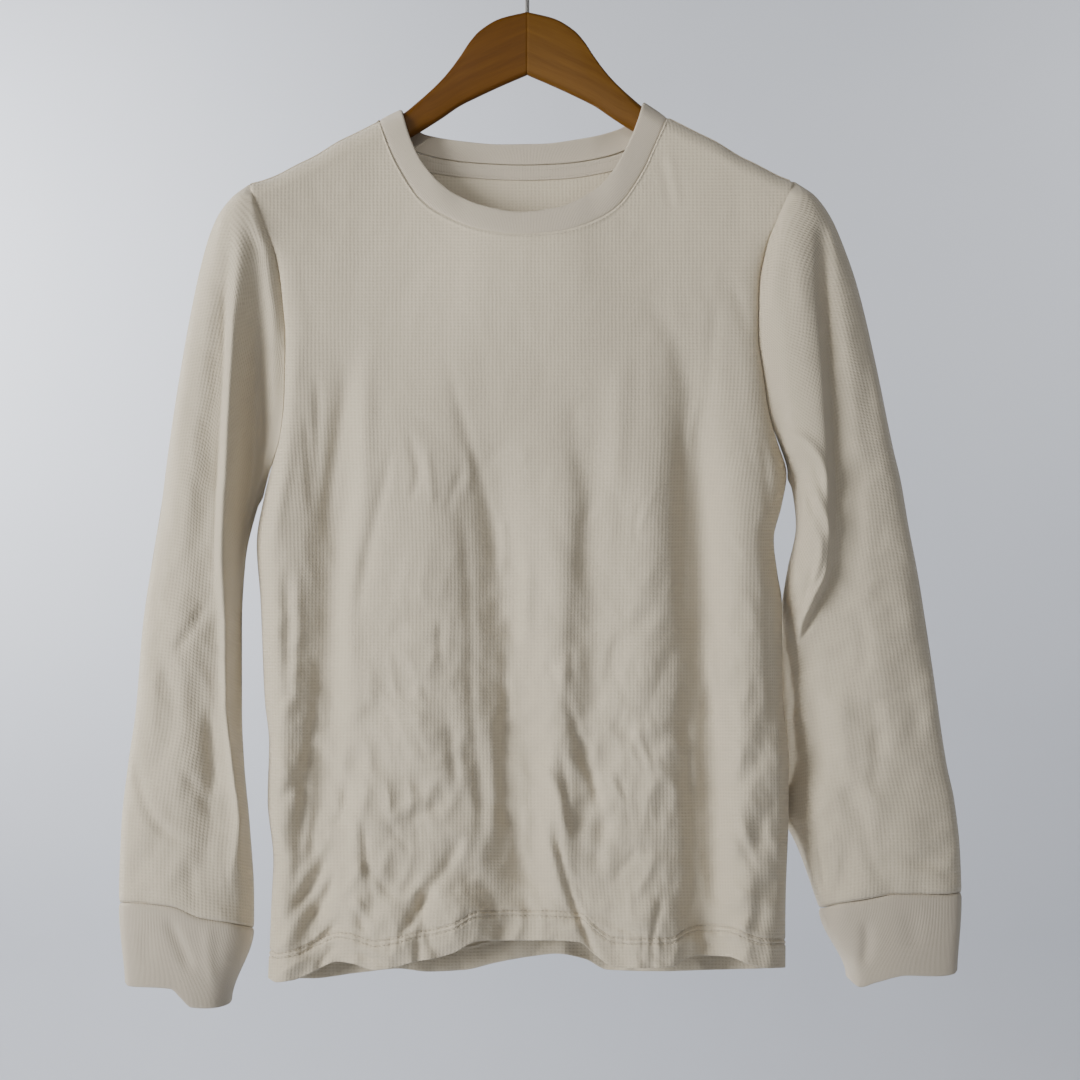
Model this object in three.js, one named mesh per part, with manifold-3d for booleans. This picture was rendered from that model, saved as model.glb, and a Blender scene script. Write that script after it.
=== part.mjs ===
import * as THREE from 'three';
import { mergeVertices } from 'three/addons/utils/BufferGeometryUtils.js';
import Module from 'manifold-3d';

// A long-sleeved waffle-knit thermal top that hangs on a contoured wooden hanger.
// Millimetres, +Z up, the front of the top faces -Y, +X is to the right as seen from the front.
// The origin is the inside top of the hook, where a rail or nail carries it.

const wasm = await Module();
wasm.setup();

// Outlines are measured in the hook's plane, as seen from a point in front of the top.
// Cloth that hangs nearer to that point than the hook is drawn in towards the line of sight.
const VIEW = { x: 9, z: -440, distance: 900 };

const CLOTH_WALL = 1.5;
const BAND_WALL = 2;
const SEAM_GAP = 0.3;
const CUFF_GAP = 0.6;
const BAND_LEAN = { depth: 2.5, overArm: 1.5, reach: 68, fade: 25 };

const ARM = {
  thickness: 11, corner: 4.6, forward: 22, reach: 212, clearance: 3.4,
  stations: [10, 19, 26, 33, 40, 47, 54, 61, 75, 89, 104, 121, 138, 155, 170, 180, 185],
  tip: [{ x: 188, shrink: 0.85 }, { x: 190, shrink: 0.5 }],
};
const HOOK = {
  wire: 3.2, crookRadius: 18, joinAngle: 50, endAngle: 205, sides: 10, seat: 24,
  stemSteps: 3, bendSteps: 6, crookSteps: 20,
  tip: [{ reach: 0.8, size: 0.85 }, { reach: 1.4, size: 0.5 }],
};

// Depths of the hanging body, in front of and behind the plane of the side seams
const BODY = {
  sideY: -4, overArm: 9.4, front: 24, back: 13, settle: 230, shoulderRoll: 10, sideRoll: 28,
  armholeOpen: 0.62, armholeRise: 70, armholeTop: 25,
};

// Grid counts of the cloth
const SHOULDER_STEPS = 7;
const FRONT_NECK_STEPS = 16;
const BACK_NECK_STEPS = 12;
const ARMHOLE_STEPS = 12;
const LOWER_STEPS = 11;
const SLEEVE_STEPS = 17;
const CUFF_STEPS = 2;
const BAND_STEPS = 2;
const ROW_SPREAD = 2;
const SHOULDER_GATHER = 1.6;
const SHOULDER_JOIN = 0.125;

// How a fold swells from its top end and dies out past its foot, as shares of its length
const FOLD = { start: 0.04, swell: 0.4, end: 1.25, die: 0.2 };

// The sleeve stands off the body a little more at the armpit, where it turns down
const ARMPIT = { gap: 1.2, rise: 60 };

// The hanger's top edge, one side, from the mitre to the tip
const armTop = table(['x', 'z'], [
  [0, -70.3], [19, -75], [33, -83.3], [40, -91], [47, -101.5], [54, -111], [61, -119], [75, -132],
  [89, -143.1], [104, -150.9], [121, -159.5], [131, -164.3], [149, -175.3], [159, -180.1],
  [177, -189.3], [186, -192.5], [194, -194.7], [200, -200],
]);

// The hanger's lower edge, one side
const armBottom = table(['x', 'z'], [
  [0, -114.8], [19, -123], [33, -129.5], [47, -136.5], [61, -146], [82, -158.9], [104, -170.5],
  [131, -184], [159, -198.5], [183, -209], [200, -213],
]);

// Where the neckband's seam and its free edge run across the front
const frontNeckSeam = table(['x', 'z'], [
  [-103.6, -146.4], [-95.9, -166.6], [-88.9, -180.6], [-74.9, -200.9], [-60.9, -210.9], [-32.9, -221.9],
  [-4.9, -225.4], [23.1, -223.3], [37.1, -219.8], [51.1, -214.2], [65.1, -204.4], [81.2, -181],
  [93.1, -155], [98, -144.6],
]);
const frontNeckEdge = table(['x', 'z'], [
  [-89, -138.9], [-81.9, -161], [-74.9, -175], [-60.9, -191.1], [-46.9, -200.2], [-32.9, -205.8],
  [-4.9, -210.7], [23.1, -207.2], [37.1, -201.6], [51.1, -192.5], [65.1, -175], [75, -155], [82.5, -133.9],
]);
const backNeckSeam = table(['x', 'z'], [
  [-103.6, -146.4], [-96, -157], [-80, -168], [-60, -173.5], [-30, -176.5], [-4, -177.5],
  [25, -176.5], [55, -172], [75, -165], [90, -154.5], [98, -144.6],
]);
const backNeckEdge = table(['x', 'z'], [
  [-89, -138.9], [-82, -150], [-71.4, -157.5], [-46.9, -161.7], [-18.9, -164.1], [9.1, -163.8],
  [37.1, -160.3], [63.7, -154], [76, -146], [82.5, -133.9],
]);
const TAPE = { width: 9.5, wall: 0.8, lift: 0.3, reach: 84, centre: -3, drop: 1, steps: 10, rows: 2 };

// Hems of the two panels
const frontHem = table(['x', 'z'], [
  [-181, -746], [-175, -749], [-163, -747.6], [-149, -742], [-131, -734.5], [-122, -735.5],
  [-103, -740.6], [-89, -738.5], [-75, -734.5], [-61, -732.5], [-47, -728.7], [-31, -720.3],
  [-19, -719.6], [15, -719.6], [37, -721], [46, -728.7], [60, -738], [76, -739.2], [102, -738.5],
  [113, -732], [121, -730], [140, -730.8], [158, -737], [168, -739.2], [181, -738.6],
]);
const backHem = table(['x', 'z'], [
  [-181, -746], [-150, -746], [-115, -742], [-87, -739.2], [-66, -741.3], [-40, -740], [-19, -735],
  [0, -731.5], [23, -728.7], [42, -732.2], [58, -739.9], [95, -741], [130, -740], [181, -738.6],
]);

// Each side of the body: the armhole seam, then the outline below the armpit
const SIDES = {
  left: {
    sign: -1,
    top: { x: -194, z: -191.3 },
    armpit: { x: -184, z: -408 },
    outline: table(['z', 'x'], [
      [-191.3, -194], [-215.6, -184.8], [-245.7, -175], [-271.6, -171.5], [-299.6, -169.4],
      [-336.7, -170.1], [-364.7, -172.9], [-388.5, -179], [-408, -184], [-443, -189.7],
      [-481.6, -187], [-551.6, -184], [-581.7, -181], [-621.6, -182], [-663.6, -178],
      [-691.6, -179.2], [-746, -181.3],
    ]),
  },
  right: {
    sign: 1,
    top: { x: 186.4, z: -189.3 },
    armpit: { x: 182, z: -394 },
    outline: table(['z', 'x'], [
      [-189.3, 186.4], [-213.5, 175.7], [-238, 166.6], [-262.5, 162.4], [-294.7, 161.7],
      [-322.7, 165.2], [-350.7, 169.4], [-371.7, 175.7], [-394, 182], [-416, 178.5],
      [-439.6, 173], [-464, 175.7], [-481.6, 178.5], [-550, 179.2], [-595.7, 183.4],
      [-626, 183.4], [-691.6, 181.3], [-738.6, 180.8],
    ]),
  },
};

// Folds of the panels: a centre line from the top to the foot, and how far it swings forward
const frontFolds = table(['topX', 'topZ', 'footX', 'footZ', 'width', 'forward'], [
  [-146, -300, -160, -640, 15, -9], [-124, -330, -126, -740, 17, 6], [-88, -340, -80, -735, 24, 4],
  [-36, -350, -34, -700, 18, -8], [-4, -420, 0, -720, 17, 5], [36, -400, 40, -600, 13, -4],
  [62, -330, 66, -740, 20, 5], [104, -260, 113, -740, 13, -11], [140, -300, 140, -735, 19, 6],
  [166, -380, 168, -620, 10, -5], [-100, -690, -98, -745, 16, 4], [-36, -690, -20, -740, 22, -6],
  [76, -690, 78, -745, 16, 4],
]);
const backFolds = table(['topX', 'topZ', 'footX', 'footZ', 'width', 'forward'], [
  [-130, -320, -138, -745, 16, 6], [-92, -360, -96, -745, 18, -5], [-44, -300, -50, -745, 17, 6],
  [6, -340, 4, -735, 22, -5], [52, -310, 60, -745, 16, 6], [96, -350, 104, -745, 18, -5],
  [138, -330, 142, -745, 15, 6],
]);

// Horizontal sections through each sleeve, from the shoulder down to the cuff's seam.
// The front of a section runs from the armhole or underarm seam over a shelf, a valley,
// a roll, a crease and the outer panel to the outer edge: x and y of each.
const sectionColumns = [
  'z', 'underX', 'underY', 'shelfX', 'shelfY', 'valleyX', 'valleyY', 'rollX', 'rollY',
  'creaseX', 'creaseY', 'panelX', 'panelY', 'outerX', 'outerY',
];
const SECTION_NODES = ['shelf', 'valley', 'roll', 'crease', 'panel'];
const SLEEVES = {
  left: {
    sections: table(sectionColumns, [
      [-191.3, -194, -19, -194, -19, -194, -19, -194.2, -19, -194.4, -19, -194.7, -19, -195, -19],
      [-200, -190, -28, -193, -29, -196, -29.5, -199, -29.5, -202, -28.5, -205, -25.5, -206.5, -20],
      [-215, -185, -29, -190, -30.5, -196, -31.5, -203, -32, -208, -31, -213.5, -28, -217.5, -19],
      [-237, -178, -27, -184, -29, -191, -28, -200, -32, -208.5, -30, -217.5, -28, -225.5, -17],
      [-284, -171, -22, -178, -24, -188, -17, -203, -33, -210.5, -26, -224, -29, -236, -15],
      [-349, -170, -15, -177, -19, -190, -8, -207, -33, -215.5, -24, -232, -29, -247, -13],
      [-388, -179, -9, -184, -12, -192, -5, -209, -33, -218, -23, -236, -29, -252.5, -12],
      [-412, -187, -4, -190, -5, -195, -4, -211, -32, -219.5, -23, -240, -29, -255.5, -12],
      [-455, -197, 0, -199, -4, -203, -10, -213, -30, -219.5, -22, -243, -28, -262.5, -12],
      [-500, -199.5, 0, -203, -6, -206.5, -14, -212, -26, -218, -22, -246, -28, -269, -12],
      [-560, -199.5, 0, -204, -6, -207.5, -14, -210.5, -25, -215, -22, -246, -28, -274, -12],
      [-595, -198, 0, -200, -8, -202, -16, -207, -26, -212, -22.5, -246, -29, -279, -12],
      [-640, -194, 0, -195, -8, -198, -17, -201.5, -24, -207, -23, -246, -29, -284, -12],
      [-690, -191, -2, -193, -9, -198, -16, -206, -22, -216, -25, -250, -27, -285.6, -12],
      [-712, -191, -2, -193, -9, -198, -16, -206, -22, -216, -25, -250, -27, -285.6, -12],
    ]),
    cuffSeam: table(['x', 'z'], [
      [-285.6, -693.7], [-271, -694.4], [-248, -697.2], [-229, -704.9], [-206, -708.4], [-191, -711],
    ]),
    cuffHem: table(['x', 'z'], [
      [-281, -745.5], [-257, -744.8], [-243, -745.5], [-236, -752], [-229, -758.5], [-206, -760.5],
    ]),
    cuffEnds: { topInner: -191, topOuter: -285.6, inner: -206, outer: -281 },
  },
  right: {
    sections: table(sectionColumns, [
      [-189.3, 186.4, -17, 186.4, -17, 186.4, -17, 186.6, -17, 186.8, -17, 187, -17, 187.4, -17],
      [-199, 183, -27, 187, -28.5, 190, -29.5, 194, -29.5, 197, -28.5, 199.8, -25.5, 201.5, -19.5],
      [-214, 175.5, -29, 182, -30.5, 189, -32.5, 197, -32.5, 203.5, -31, 209, -27, 212.5, -19],
      [-228, 170, -29, 178, -30, 186, -32.5, 196, -33, 206.5, -28, 213.5, -27, 219, -18],
      [-262, 162.4, -25, 172, -29, 183, -33, 196, -34, 206.5, -24, 219, -28, 231, -16],
      [-314, 164.5, -20, 173, -27, 184, -33, 198, -35, 210.7, -20, 227, -28, 243.5, -14],
      [-377, 177, -9, 183, -22, 190, -31, 201, -36, 215, -18, 235, -28, 256.5, -12],
      [-398, 184, -4, 188, -14, 193, -24, 203, -36, 215.8, -17.5, 238, -27, 261.5, -12],
      [-430, 188, -4, 189.5, -16, 193, -27, 203, -36, 216.3, -18, 240, -27, 267, -12],
      [-461, 184, -2, 185, -13, 189, -24, 200, -33, 214.2, -18, 242, -27, 273, -12],
      [-482, 183.5, 5, 184.5, -6, 187, -17, 194, -27, 205, -18, 242, -27, 276.5, -12],
      [-503, 177, 12, 183, 5, 186, -6, 190, -18, 197, -17, 240, -27, 279.7, -12],
      [-531, 172, 14, 180, 9, 186, 0, 190, -8, 195, -13, 238, -27, 284, -12],
      [-596, 170, 15, 180, 11, 189, 2, 197, -8, 208, -17, 243, -26, 293.5, -12],
      [-622, 174, 14, 182, 9, 190, -1, 199, -11, 211, -18, 247, -26, 299, -12],
      [-657, 190, 7, 192, 0, 196, -7, 204, -13, 216, -18, 251, -25, 303, -12],
      [-698, 204.5, 0, 206, -6, 210, -11, 218, -16, 229, -19, 259, -22, 304.5, -12],
    ]),
    cuffSeam: table(['x', 'z'], [
      [204.5, -697.2], [219, -694.4], [238, -691.6], [261, -688.1], [294, -688.1], [304.5, -686.7],
    ]),
    cuffHem: table(['x', 'z'], [
      [223, -744], [229, -747.6], [240, -743.4], [261, -737.8], [284, -738.5], [301, -737.1],
    ]),
    cuffEnds: { topInner: 204.5, topOuter: 304.5, inner: 223, outer: 301 },
  },
};
const SLEEVE_EDGE = { share: 0.22, back: 9, settle: 40, inset: 3.5, turn: 0.62 };
const CUFF_SQUASH = 0.8;

const WAFFLE_CREAM = new THREE.Color(0.733, 0.706, 0.647);
const PLAIN_CREAM = new THREE.Color(0.72, 0.685, 0.61);
const WOOD_BROWN = new THREE.Color(0.4, 0.25, 0.09);
const STEEL_GREY = new THREE.Color(0.3, 0.29, 0.28);

function table(names, rows) {
  return rows.map((row) => Object.fromEntries(names.map((name, i) => [name, row[i]])));
}

const mix = (a, b, t) => a + (b - a) * t;
const clamp01 = (t) => Math.min(Math.max(t, 0), 1);
const ease = (t) => clamp01(t) ** 2 * (3 - 2 * clamp01(t));
// A quarter round: 0 at the edge with an upright start, 1 once the cloth hangs free
const roll = (t) => Math.sqrt(1 - (1 - clamp01(t)) ** 2);

// A smooth curve through a table's rows that never overshoots them
function through(rows, from, to) {
  const sorted = [...rows].sort((p, q) => p[from] - q[from]);
  const a = sorted.map((row) => row[from]);
  const b = sorted.map((row) => row[to]);
  const slopes = a.slice(1).map((value, i) => (b[i + 1] - b[i]) / Math.max(value - a[i], 1e-9));
  const tangents = a.map((_, i) => {
    if (i === 0) return slopes[0];
    if (i === a.length - 1) return slopes[i - 1];
    const [before, after] = [slopes[i - 1], slopes[i]];
    return before * after <= 0 ? 0 : (2 * before * after) / (before + after);
  });
  return (value) => {
    const at = Math.min(Math.max(value, a[0]), a[a.length - 1]);
    let i = 0;
    while (i < a.length - 2 && at > a[i + 1]) i += 1;
    const span = a[i + 1] - a[i];
    const t = (at - a[i]) / span;
    return (2 * t ** 3 - 3 * t ** 2 + 1) * b[i] + (t ** 3 - 2 * t ** 2 + t) * span * tangents[i]
      + (3 * t ** 2 - 2 * t ** 3) * b[i + 1] + (t ** 3 - t ** 2) * span * tangents[i + 1];
  };
}

// Points along a curve given as a table of x and z
function alongCurve(rows, steps) {
  const height = through(rows, 'x', 'z');
  const [start, end] = [rows[0].x, rows[rows.length - 1].x];
  const FINE = 400;
  const xs = Array.from({ length: FINE + 1 }, (_, i) => mix(start, end, i / FINE));
  const lengths = [0];
  for (let i = 1; i <= FINE; i += 1) {
    lengths.push(lengths[i - 1] + Math.hypot(xs[i] - xs[i - 1], height(xs[i]) - height(xs[i - 1])));
  }
  return Array.from({ length: steps + 1 }, (_, k) => {
    // Steps are shorter towards both ends, where the seam turns over the hanger
    const wanted = (lengths[FINE] * (1 - Math.cos((Math.PI * k) / steps))) / 2;
    let i = 1;
    while (i < FINE && lengths[i] < wanted) i += 1;
    const t = clamp01((wanted - lengths[i - 1]) / (lengths[i] - lengths[i - 1]));
    const x = mix(xs[i - 1], xs[i], t);
    return { x, z: height(x) };
  });
}

const armTopAt = through(armTop, 'x', 'z');
const armBottomAt = through(armBottom, 'x', 'z');
const armYAt = (x) => -ARM.forward * (x / ARM.reach) ** 2;
const shoulderAt = (x) => armTopAt(Math.abs(x)) + ARM.clearance;
const frontHemAt = through(frontHem, 'x', 'z');
const backHemAt = through(backHem, 'x', 'z');
for (const side of Object.values(SIDES)) side.edgeAt = through(side.outline, 'z', 'x');

// How far the rows lie below the top: close together over the shoulder, wide apart lower down
function rowDrop(q) {
  return (Math.sqrt(1 + (ROW_SPREAD * q) ** 2) - 1) / (Math.sqrt(1 + ROW_SPREAD ** 2) - 1);
}
function rowAtDrop(drop) {
  return Math.sqrt((drop * (Math.sqrt(1 + ROW_SPREAD ** 2) - 1) + 1) ** 2 - 1) / ROW_SPREAD;
}

function foldDepth(folds, x, z) {
  return folds.reduce((sum, fold) => {
    const t = (z - fold.topZ) / (fold.footZ - fold.topZ);
    const centre = mix(fold.topX, fold.footX, clamp01(t));
    const across = Math.exp(-(((x - centre) / fold.width) ** 2));
    const length = ease((t + FOLD.start) / FOLD.swell) * ease((FOLD.end - t) / FOLD.die);
    return sum + fold.forward * across * length;
  }, 0);
}

// Depth of a panel at a place on the outline plane: -1 for the front, +1 for the back
function panelY(x, z, facing) {
  const side = x < 0 ? SIDES.left : SIDES.right;
  const below = shoulderAt(x) - z;
  const inside = Math.max((side.edgeAt(z) - x) * side.sign, 0);
  const settled = ease(below / BODY.settle);
  const seamY = mix(armYAt(x), BODY.sideY, settled);
  const folds = facing < 0 ? frontFolds : backFolds;
  const full = facing < 0 ? BODY.front : BODY.back;
  const depth = mix(BODY.overArm, full, settled) + foldDepth(folds, x, z);
  const lowered = ease((below - BODY.armholeTop) / BODY.armholeRise);
  const open = mix(1, BODY.armholeOpen, lowered) * ease((z - side.armpit.z) / BODY.armholeRise);
  const closing = open + (1 - open) * roll(inside / BODY.sideRoll);
  return seamY + facing * depth * roll(below / BODY.shoulderRoll) * closing;
}

function fromView(x, y, z) {
  const scale = (VIEW.distance + y) / VIEW.distance;
  return new THREE.Vector3(VIEW.x + (x - VIEW.x) * scale, y, VIEW.z + (z - VIEW.z) * scale);
}

// Stations of the neck seam with the band's free edge across from each
function neckStations(seamRows, edgeRows, steps) {
  const edge = alongCurve(edgeRows, steps);
  return alongCurve(seamRows, steps).map((point, k) => {
    const reach = Math.hypot(edge[k].x - point.x, edge[k].z - point.z);
    const half = SEAM_GAP / 2 / reach;
    return {
      edge: edge[k],
      band: { x: mix(point.x, edge[k].x, half), z: mix(point.z, edge[k].z, half) },
      panel: { x: mix(point.x, edge[k].x, -half), z: mix(point.z, edge[k].z, -half) },
    };
  });
}

// The columns of a panel: along one shoulder, the neck seam and the other shoulder
function panelColumns(stations) {
  const shoulder = (side, neck) => Array.from({ length: SHOULDER_STEPS }, (_, k) => {
    const q = (k / SHOULDER_STEPS) ** SHOULDER_GATHER;
    const x = mix(side.top.x, neck.x, q);
    return { x, z: mix(side.top.z, shoulderAt(x), ease(q / SHOULDER_JOIN)) };
  });
  const neck = stations.map((station) => station.panel);
  return [
    ...shoulder(SIDES.left, neck[0]),
    ...neck.map((point, k) => ({ ...point, neck: k > 0 && k < neck.length - 1 })),
    ...shoulder(SIDES.right, neck[neck.length - 1]).reverse(),
  ];
}

// Points of a panel on the outline plane, with its depth: rows from the top edge to the hem
function panelGrid(columns, hemAt, facing) {
  const { left, right } = SIDES;
  const middle = (x) => (x - left.top.x) / (right.top.x - left.top.x);
  const rows = [];
  for (let i = 0; i <= ARMHOLE_STEPS + LOWER_STEPS; i += 1) {
    rows.push(columns.map((column, k) => {
      const t = middle(column.x);
      const waist = mix(left.armpit.z, right.armpit.z, t);
      const hem = hemAt(mix(frontHem[0].x, frontHem[frontHem.length - 1].x, t));
      const z = i <= ARMHOLE_STEPS
        ? mix(column.z, waist, rowDrop(i / ARMHOLE_STEPS))
        : mix(waist, hem, (i - ARMHOLE_STEPS) / LOWER_STEPS);
      const drawIn = (side, weight) => (side.edgeAt(z) - side.edgeAt(column.z)) * weight ** 3;
      let x = column.x + drawIn(left, 1 - t) + drawIn(right, t);
      if (k === 0) x = left.edgeAt(z);
      if (k === columns.length - 1) x = right.edgeAt(z);
      let y = panelY(x, z, facing);
      const onSeam = (i === 0 && !column.neck) || k === 0 || k === columns.length - 1;
      if (onSeam) y += (facing * SEAM_GAP) / 2;
      return fromView(x, y, z);
    }));
  }
  return rows;
}

// Outward normals of a grid; turn is 1 or -1, whichever points away from the body
function gridNormals(grid, closed, turn) {
  const width = grid[0].length;
  const at = (i, k) => grid[Math.min(Math.max(i, 0), grid.length - 1)][
    closed ? (k + width) % width : Math.min(Math.max(k, 0), width - 1)];
  return grid.map((row, i) => row.map((_, k) => {
    const across = at(i, k + 1).clone().sub(at(i, k - 1));
    const down = at(i + 1, k).clone().sub(at(i - 1, k));
    return across.cross(down).normalize().multiplyScalar(turn);
  }));
}

// Two pieces that meet at a seam share its normal, so that their cut edges stay parallel
function shareNormal(a, b) {
  const shared = a.clone().add(b).normalize();
  a.copy(shared);
  b.copy(shared);
}

// A closed wall: the given points are its outer face, and the inner face lies a thickness behind
function wall({ grid, normals, closed = false }, thickness) {
  const inner = grid.map((row, i) => row.map((point, k) => (
    point.clone().addScaledVector(normals[i][k], -thickness))));
  const width = grid[0].length;
  const points = [...grid.flat(), ...inner.flat()];
  const half = grid.length * width;
  const faces = [];
  const quad = (a, b, c, d) => faces.push(a, b, c, a, c, d);
  const id = (layer, i, k) => layer * half + i * width + (k % width);
  const columns = closed ? width : width - 1;
  for (let i = 0; i < grid.length - 1; i += 1) {
    for (let k = 0; k < columns; k += 1) {
      quad(id(0, i, k), id(0, i + 1, k), id(0, i + 1, k + 1), id(0, i, k + 1));
      quad(id(1, i, k), id(1, i, k + 1), id(1, i + 1, k + 1), id(1, i + 1, k));
    }
  }
  const last = grid.length - 1;
  for (let k = 0; k < columns; k += 1) {
    quad(id(0, 0, k), id(0, 0, k + 1), id(1, 0, k + 1), id(1, 0, k));
    quad(id(0, last, k + 1), id(0, last, k), id(1, last, k), id(1, last, k + 1));
  }
  if (!closed) {
    for (let i = 0; i < last; i += 1) {
      quad(id(0, i + 1, 0), id(0, i, 0), id(1, i, 0), id(1, i + 1, 0));
      quad(id(0, i, columns), id(0, i + 1, columns), id(1, i + 1, columns), id(1, i, columns));
    }
  }
  return solidGeometry(points, faces);
}

// A geometry whose faces point outward
function solidGeometry(points, faces) {
  const at = (i) => points[faces[i]];
  let volume = 0;
  for (let i = 0; i < faces.length; i += 3) {
    volume += at(i).dot(at(i + 1).clone().cross(at(i + 2))) / 6;
  }
  const turned = [];
  for (let i = 0; i < faces.length; i += 3) {
    turned.push(faces[i], ...(volume > 0 ? [faces[i + 1], faces[i + 2]] : [faces[i + 2], faces[i + 1]]));
  }
  const geometry = new THREE.BufferGeometry();
  geometry.setAttribute('position', new THREE.Float32BufferAttribute(points.flatMap((p) => p.toArray()), 3));
  geometry.setIndex(turned);
  return geometry;
}

// A solid through a row of rings with the same number of points, capped at both ends
function loft(rings) {
  const width = rings[0].length;
  const faces = [];
  for (let i = 0; i < rings.length - 1; i += 1) {
    for (let k = 0; k < width; k += 1) {
      const [a, b] = [i * width + k, i * width + ((k + 1) % width)];
      faces.push(a, b, b + width, a, b + width, a + width);
    }
  }
  const end = (rings.length - 1) * width;
  for (let k = 1; k < width - 1; k += 1) {
    faces.push(0, k + 1, k);
    faces.push(end, end + k, end + k + 1);
  }
  return solidGeometry(rings.flat(), faces);
}

const frontStations = neckStations(frontNeckSeam, frontNeckEdge, FRONT_NECK_STEPS);
const backStations = neckStations(backNeckSeam, backNeckEdge, BACK_NECK_STEPS);

// The neckband: out from the neck seam to its free edge, which leans in a little
function neckRing() {
  const ring = [
    ...frontStations.map((station) => ({ ...station, facing: -1 })),
    ...[...backStations].reverse().slice(1, -1).map((station) => ({ ...station, facing: 1 })),
  ];
  return Array.from({ length: BAND_STEPS + 1 }, (_, i) => ring.map(({ band, edge, facing }) => {
    const t = i / BAND_STEPS;
    const x = mix(band.x, edge.x, t);
    const z = mix(band.z, edge.z, t);
    const free = ease((BAND_LEAN.reach - Math.abs(x)) / BAND_LEAN.fade);
    const y = panelY(x, z, facing) + facing * (BAND_LEAN.overArm * (1 - free) - BAND_LEAN.depth * free) * t;
    return fromView(x, y, z);
  }));
}

// The tape lies inside the back panel, just below the neck seam
function tapeGrid() {
  const seamAt = through(backNeckSeam, 'x', 'z');
  return Array.from({ length: TAPE.rows + 1 }, (_, i) => (
    Array.from({ length: TAPE.steps + 1 }, (__, k) => {
      const x = TAPE.centre + mix(-TAPE.reach, TAPE.reach, k / TAPE.steps);
      const z = seamAt(x) - TAPE.drop - (TAPE.width * i) / TAPE.rows;
      const y = panelY(x, z, 1) - CLOTH_WALL - TAPE.lift;
      return fromView(x, y, z);
    })));
}

// One point of a sleeve's section: run 0 at the front seam, 1 at the outer edge, 2 at the back seam
function sleevePoint(name, run, z) {
  const side = SIDES[name];
  const { at } = SLEEVES[name];
  const inArmhole = z > side.armpit.z;
  const frontSeam = inArmhole
    ? { x: side.edgeAt(z), y: panelY(side.edgeAt(z), z, -1) }
    : { x: at.underX(z), y: at.underY(z) };
  const backSeam = inArmhole ? { x: side.edgeAt(z), y: panelY(side.edgeAt(z), z, 1) } : frontSeam;
  const outer = { x: at.outerX(z), y: at.outerY(z) };
  if (run > 1) {
    const t = run - 1;
    const round = roll(Math.min(t, 1 - t) / SLEEVE_EDGE.share);
    const bulge = SLEEVE_EDGE.back * round * ease((side.top.z - z) / SLEEVE_EDGE.settle);
    return { x: mix(outer.x, backSeam.x, t), y: mix(outer.y, backSeam.y, t) + bulge };
  }
  const settled = ease((side.top.z - z) / SLEEVE_EDGE.settle);
  const nodes = [
    frontSeam,
    ...SECTION_NODES.map((key) => ({ x: at[`${key}X`](z), y: at[`${key}Y`](z) })),
    { x: outer.x - side.sign * SLEEVE_EDGE.inset * settled, y: mix(outer.y, at.panelY(z), SLEEVE_EDGE.turn) },
    outer,
  ];
  const bends = nodes.map(({ x, y }) => new THREE.Vector3(x, y, 0));
  const point = new THREE.CatmullRomCurve3(bends, false, 'centripetal').getPoint(clamp01(run));
  return { x: point.x, y: point.y };
}

// A sleeve as a tube: its columns start at the armhole's stations and run down to the cuff
function sleeveGrid(name) {
  const side = SIDES[name];
  const sleeve = SLEEVES[name];
  sleeve.at = Object.fromEntries(
    sectionColumns.slice(1).map((key) => [key, through(sleeve.sections, 'z', key)]));
  sleeve.cuffSeamAt = through(sleeve.cuffSeam, 'x', 'z');
  const armholeRow = (z) => rowAtDrop(clamp01((side.top.z - z) / (side.top.z - side.armpit.z)));
  const starts = [];
  for (let k = 0; k < 2 * ARMHOLE_STEPS; k += 1) {
    const up = k <= ARMHOLE_STEPS ? k : 2 * ARMHOLE_STEPS - k;
    const row = ARMHOLE_STEPS - up;
    const z = mix(side.top.z, side.armpit.z, rowDrop(row / ARMHOLE_STEPS));
    starts.push({ z, share: up / ARMHOLE_STEPS, back: k > ARMHOLE_STEPS });
  }
  const endZ = (share, back) => {
    const run = back ? 2 - share : share;
    return sleeve.cuffSeamAt(sleevePoint(name, run, sleeve.cuffSeam[2].z).x);
  };
  return Array.from({ length: SLEEVE_STEPS + 1 }, (_, i) => starts.map((start) => {
    const end = endZ(start.share, start.back) + SEAM_GAP / 2;
    const z = mix(start.z, end, rowDrop(i / SLEEVE_STEPS));
    const passed = 1 - armholeRow(z);
    const share = passed >= 1 ? 1 : clamp01((start.share - passed) / (1 - passed));
    const { x, y } = sleevePoint(name, start.back ? 2 - share : share, z);
    const gap = i === 0 ? mix(ARMPIT.gap, SEAM_GAP, ease((z - side.armpit.z) / ARMPIT.rise)) : 0;
    return fromView(x + side.sign * gap, y, z);
  }));
}

// A cuff carries on from the sleeve's last ring and narrows to its hem
function cuffGrid(name, sleeveRows) {
  const { cuffHem, cuffEnds } = SLEEVES[name];
  const hemAt = through(cuffHem, 'x', 'z');
  const top = sleeveRows[sleeveRows.length - 1];
  const meanY = top.reduce((sum, point) => sum + point.y, 0) / top.length;
  return Array.from({ length: CUFF_STEPS + 1 }, (_, i) => top.map((point) => {
    const t = i / CUFF_STEPS;
    const share = (point.x - cuffEnds.topInner) / (cuffEnds.topOuter - cuffEnds.topInner);
    const x = mix(point.x, mix(cuffEnds.inner, cuffEnds.outer, share), ease(t));
    const y = mix(point.y, mix(meanY, point.y, CUFF_SQUASH), t);
    const z = mix(point.z - CUFF_GAP, hemAt(x), t);
    return new THREE.Vector3(x, y, z);
  }));
}

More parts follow.
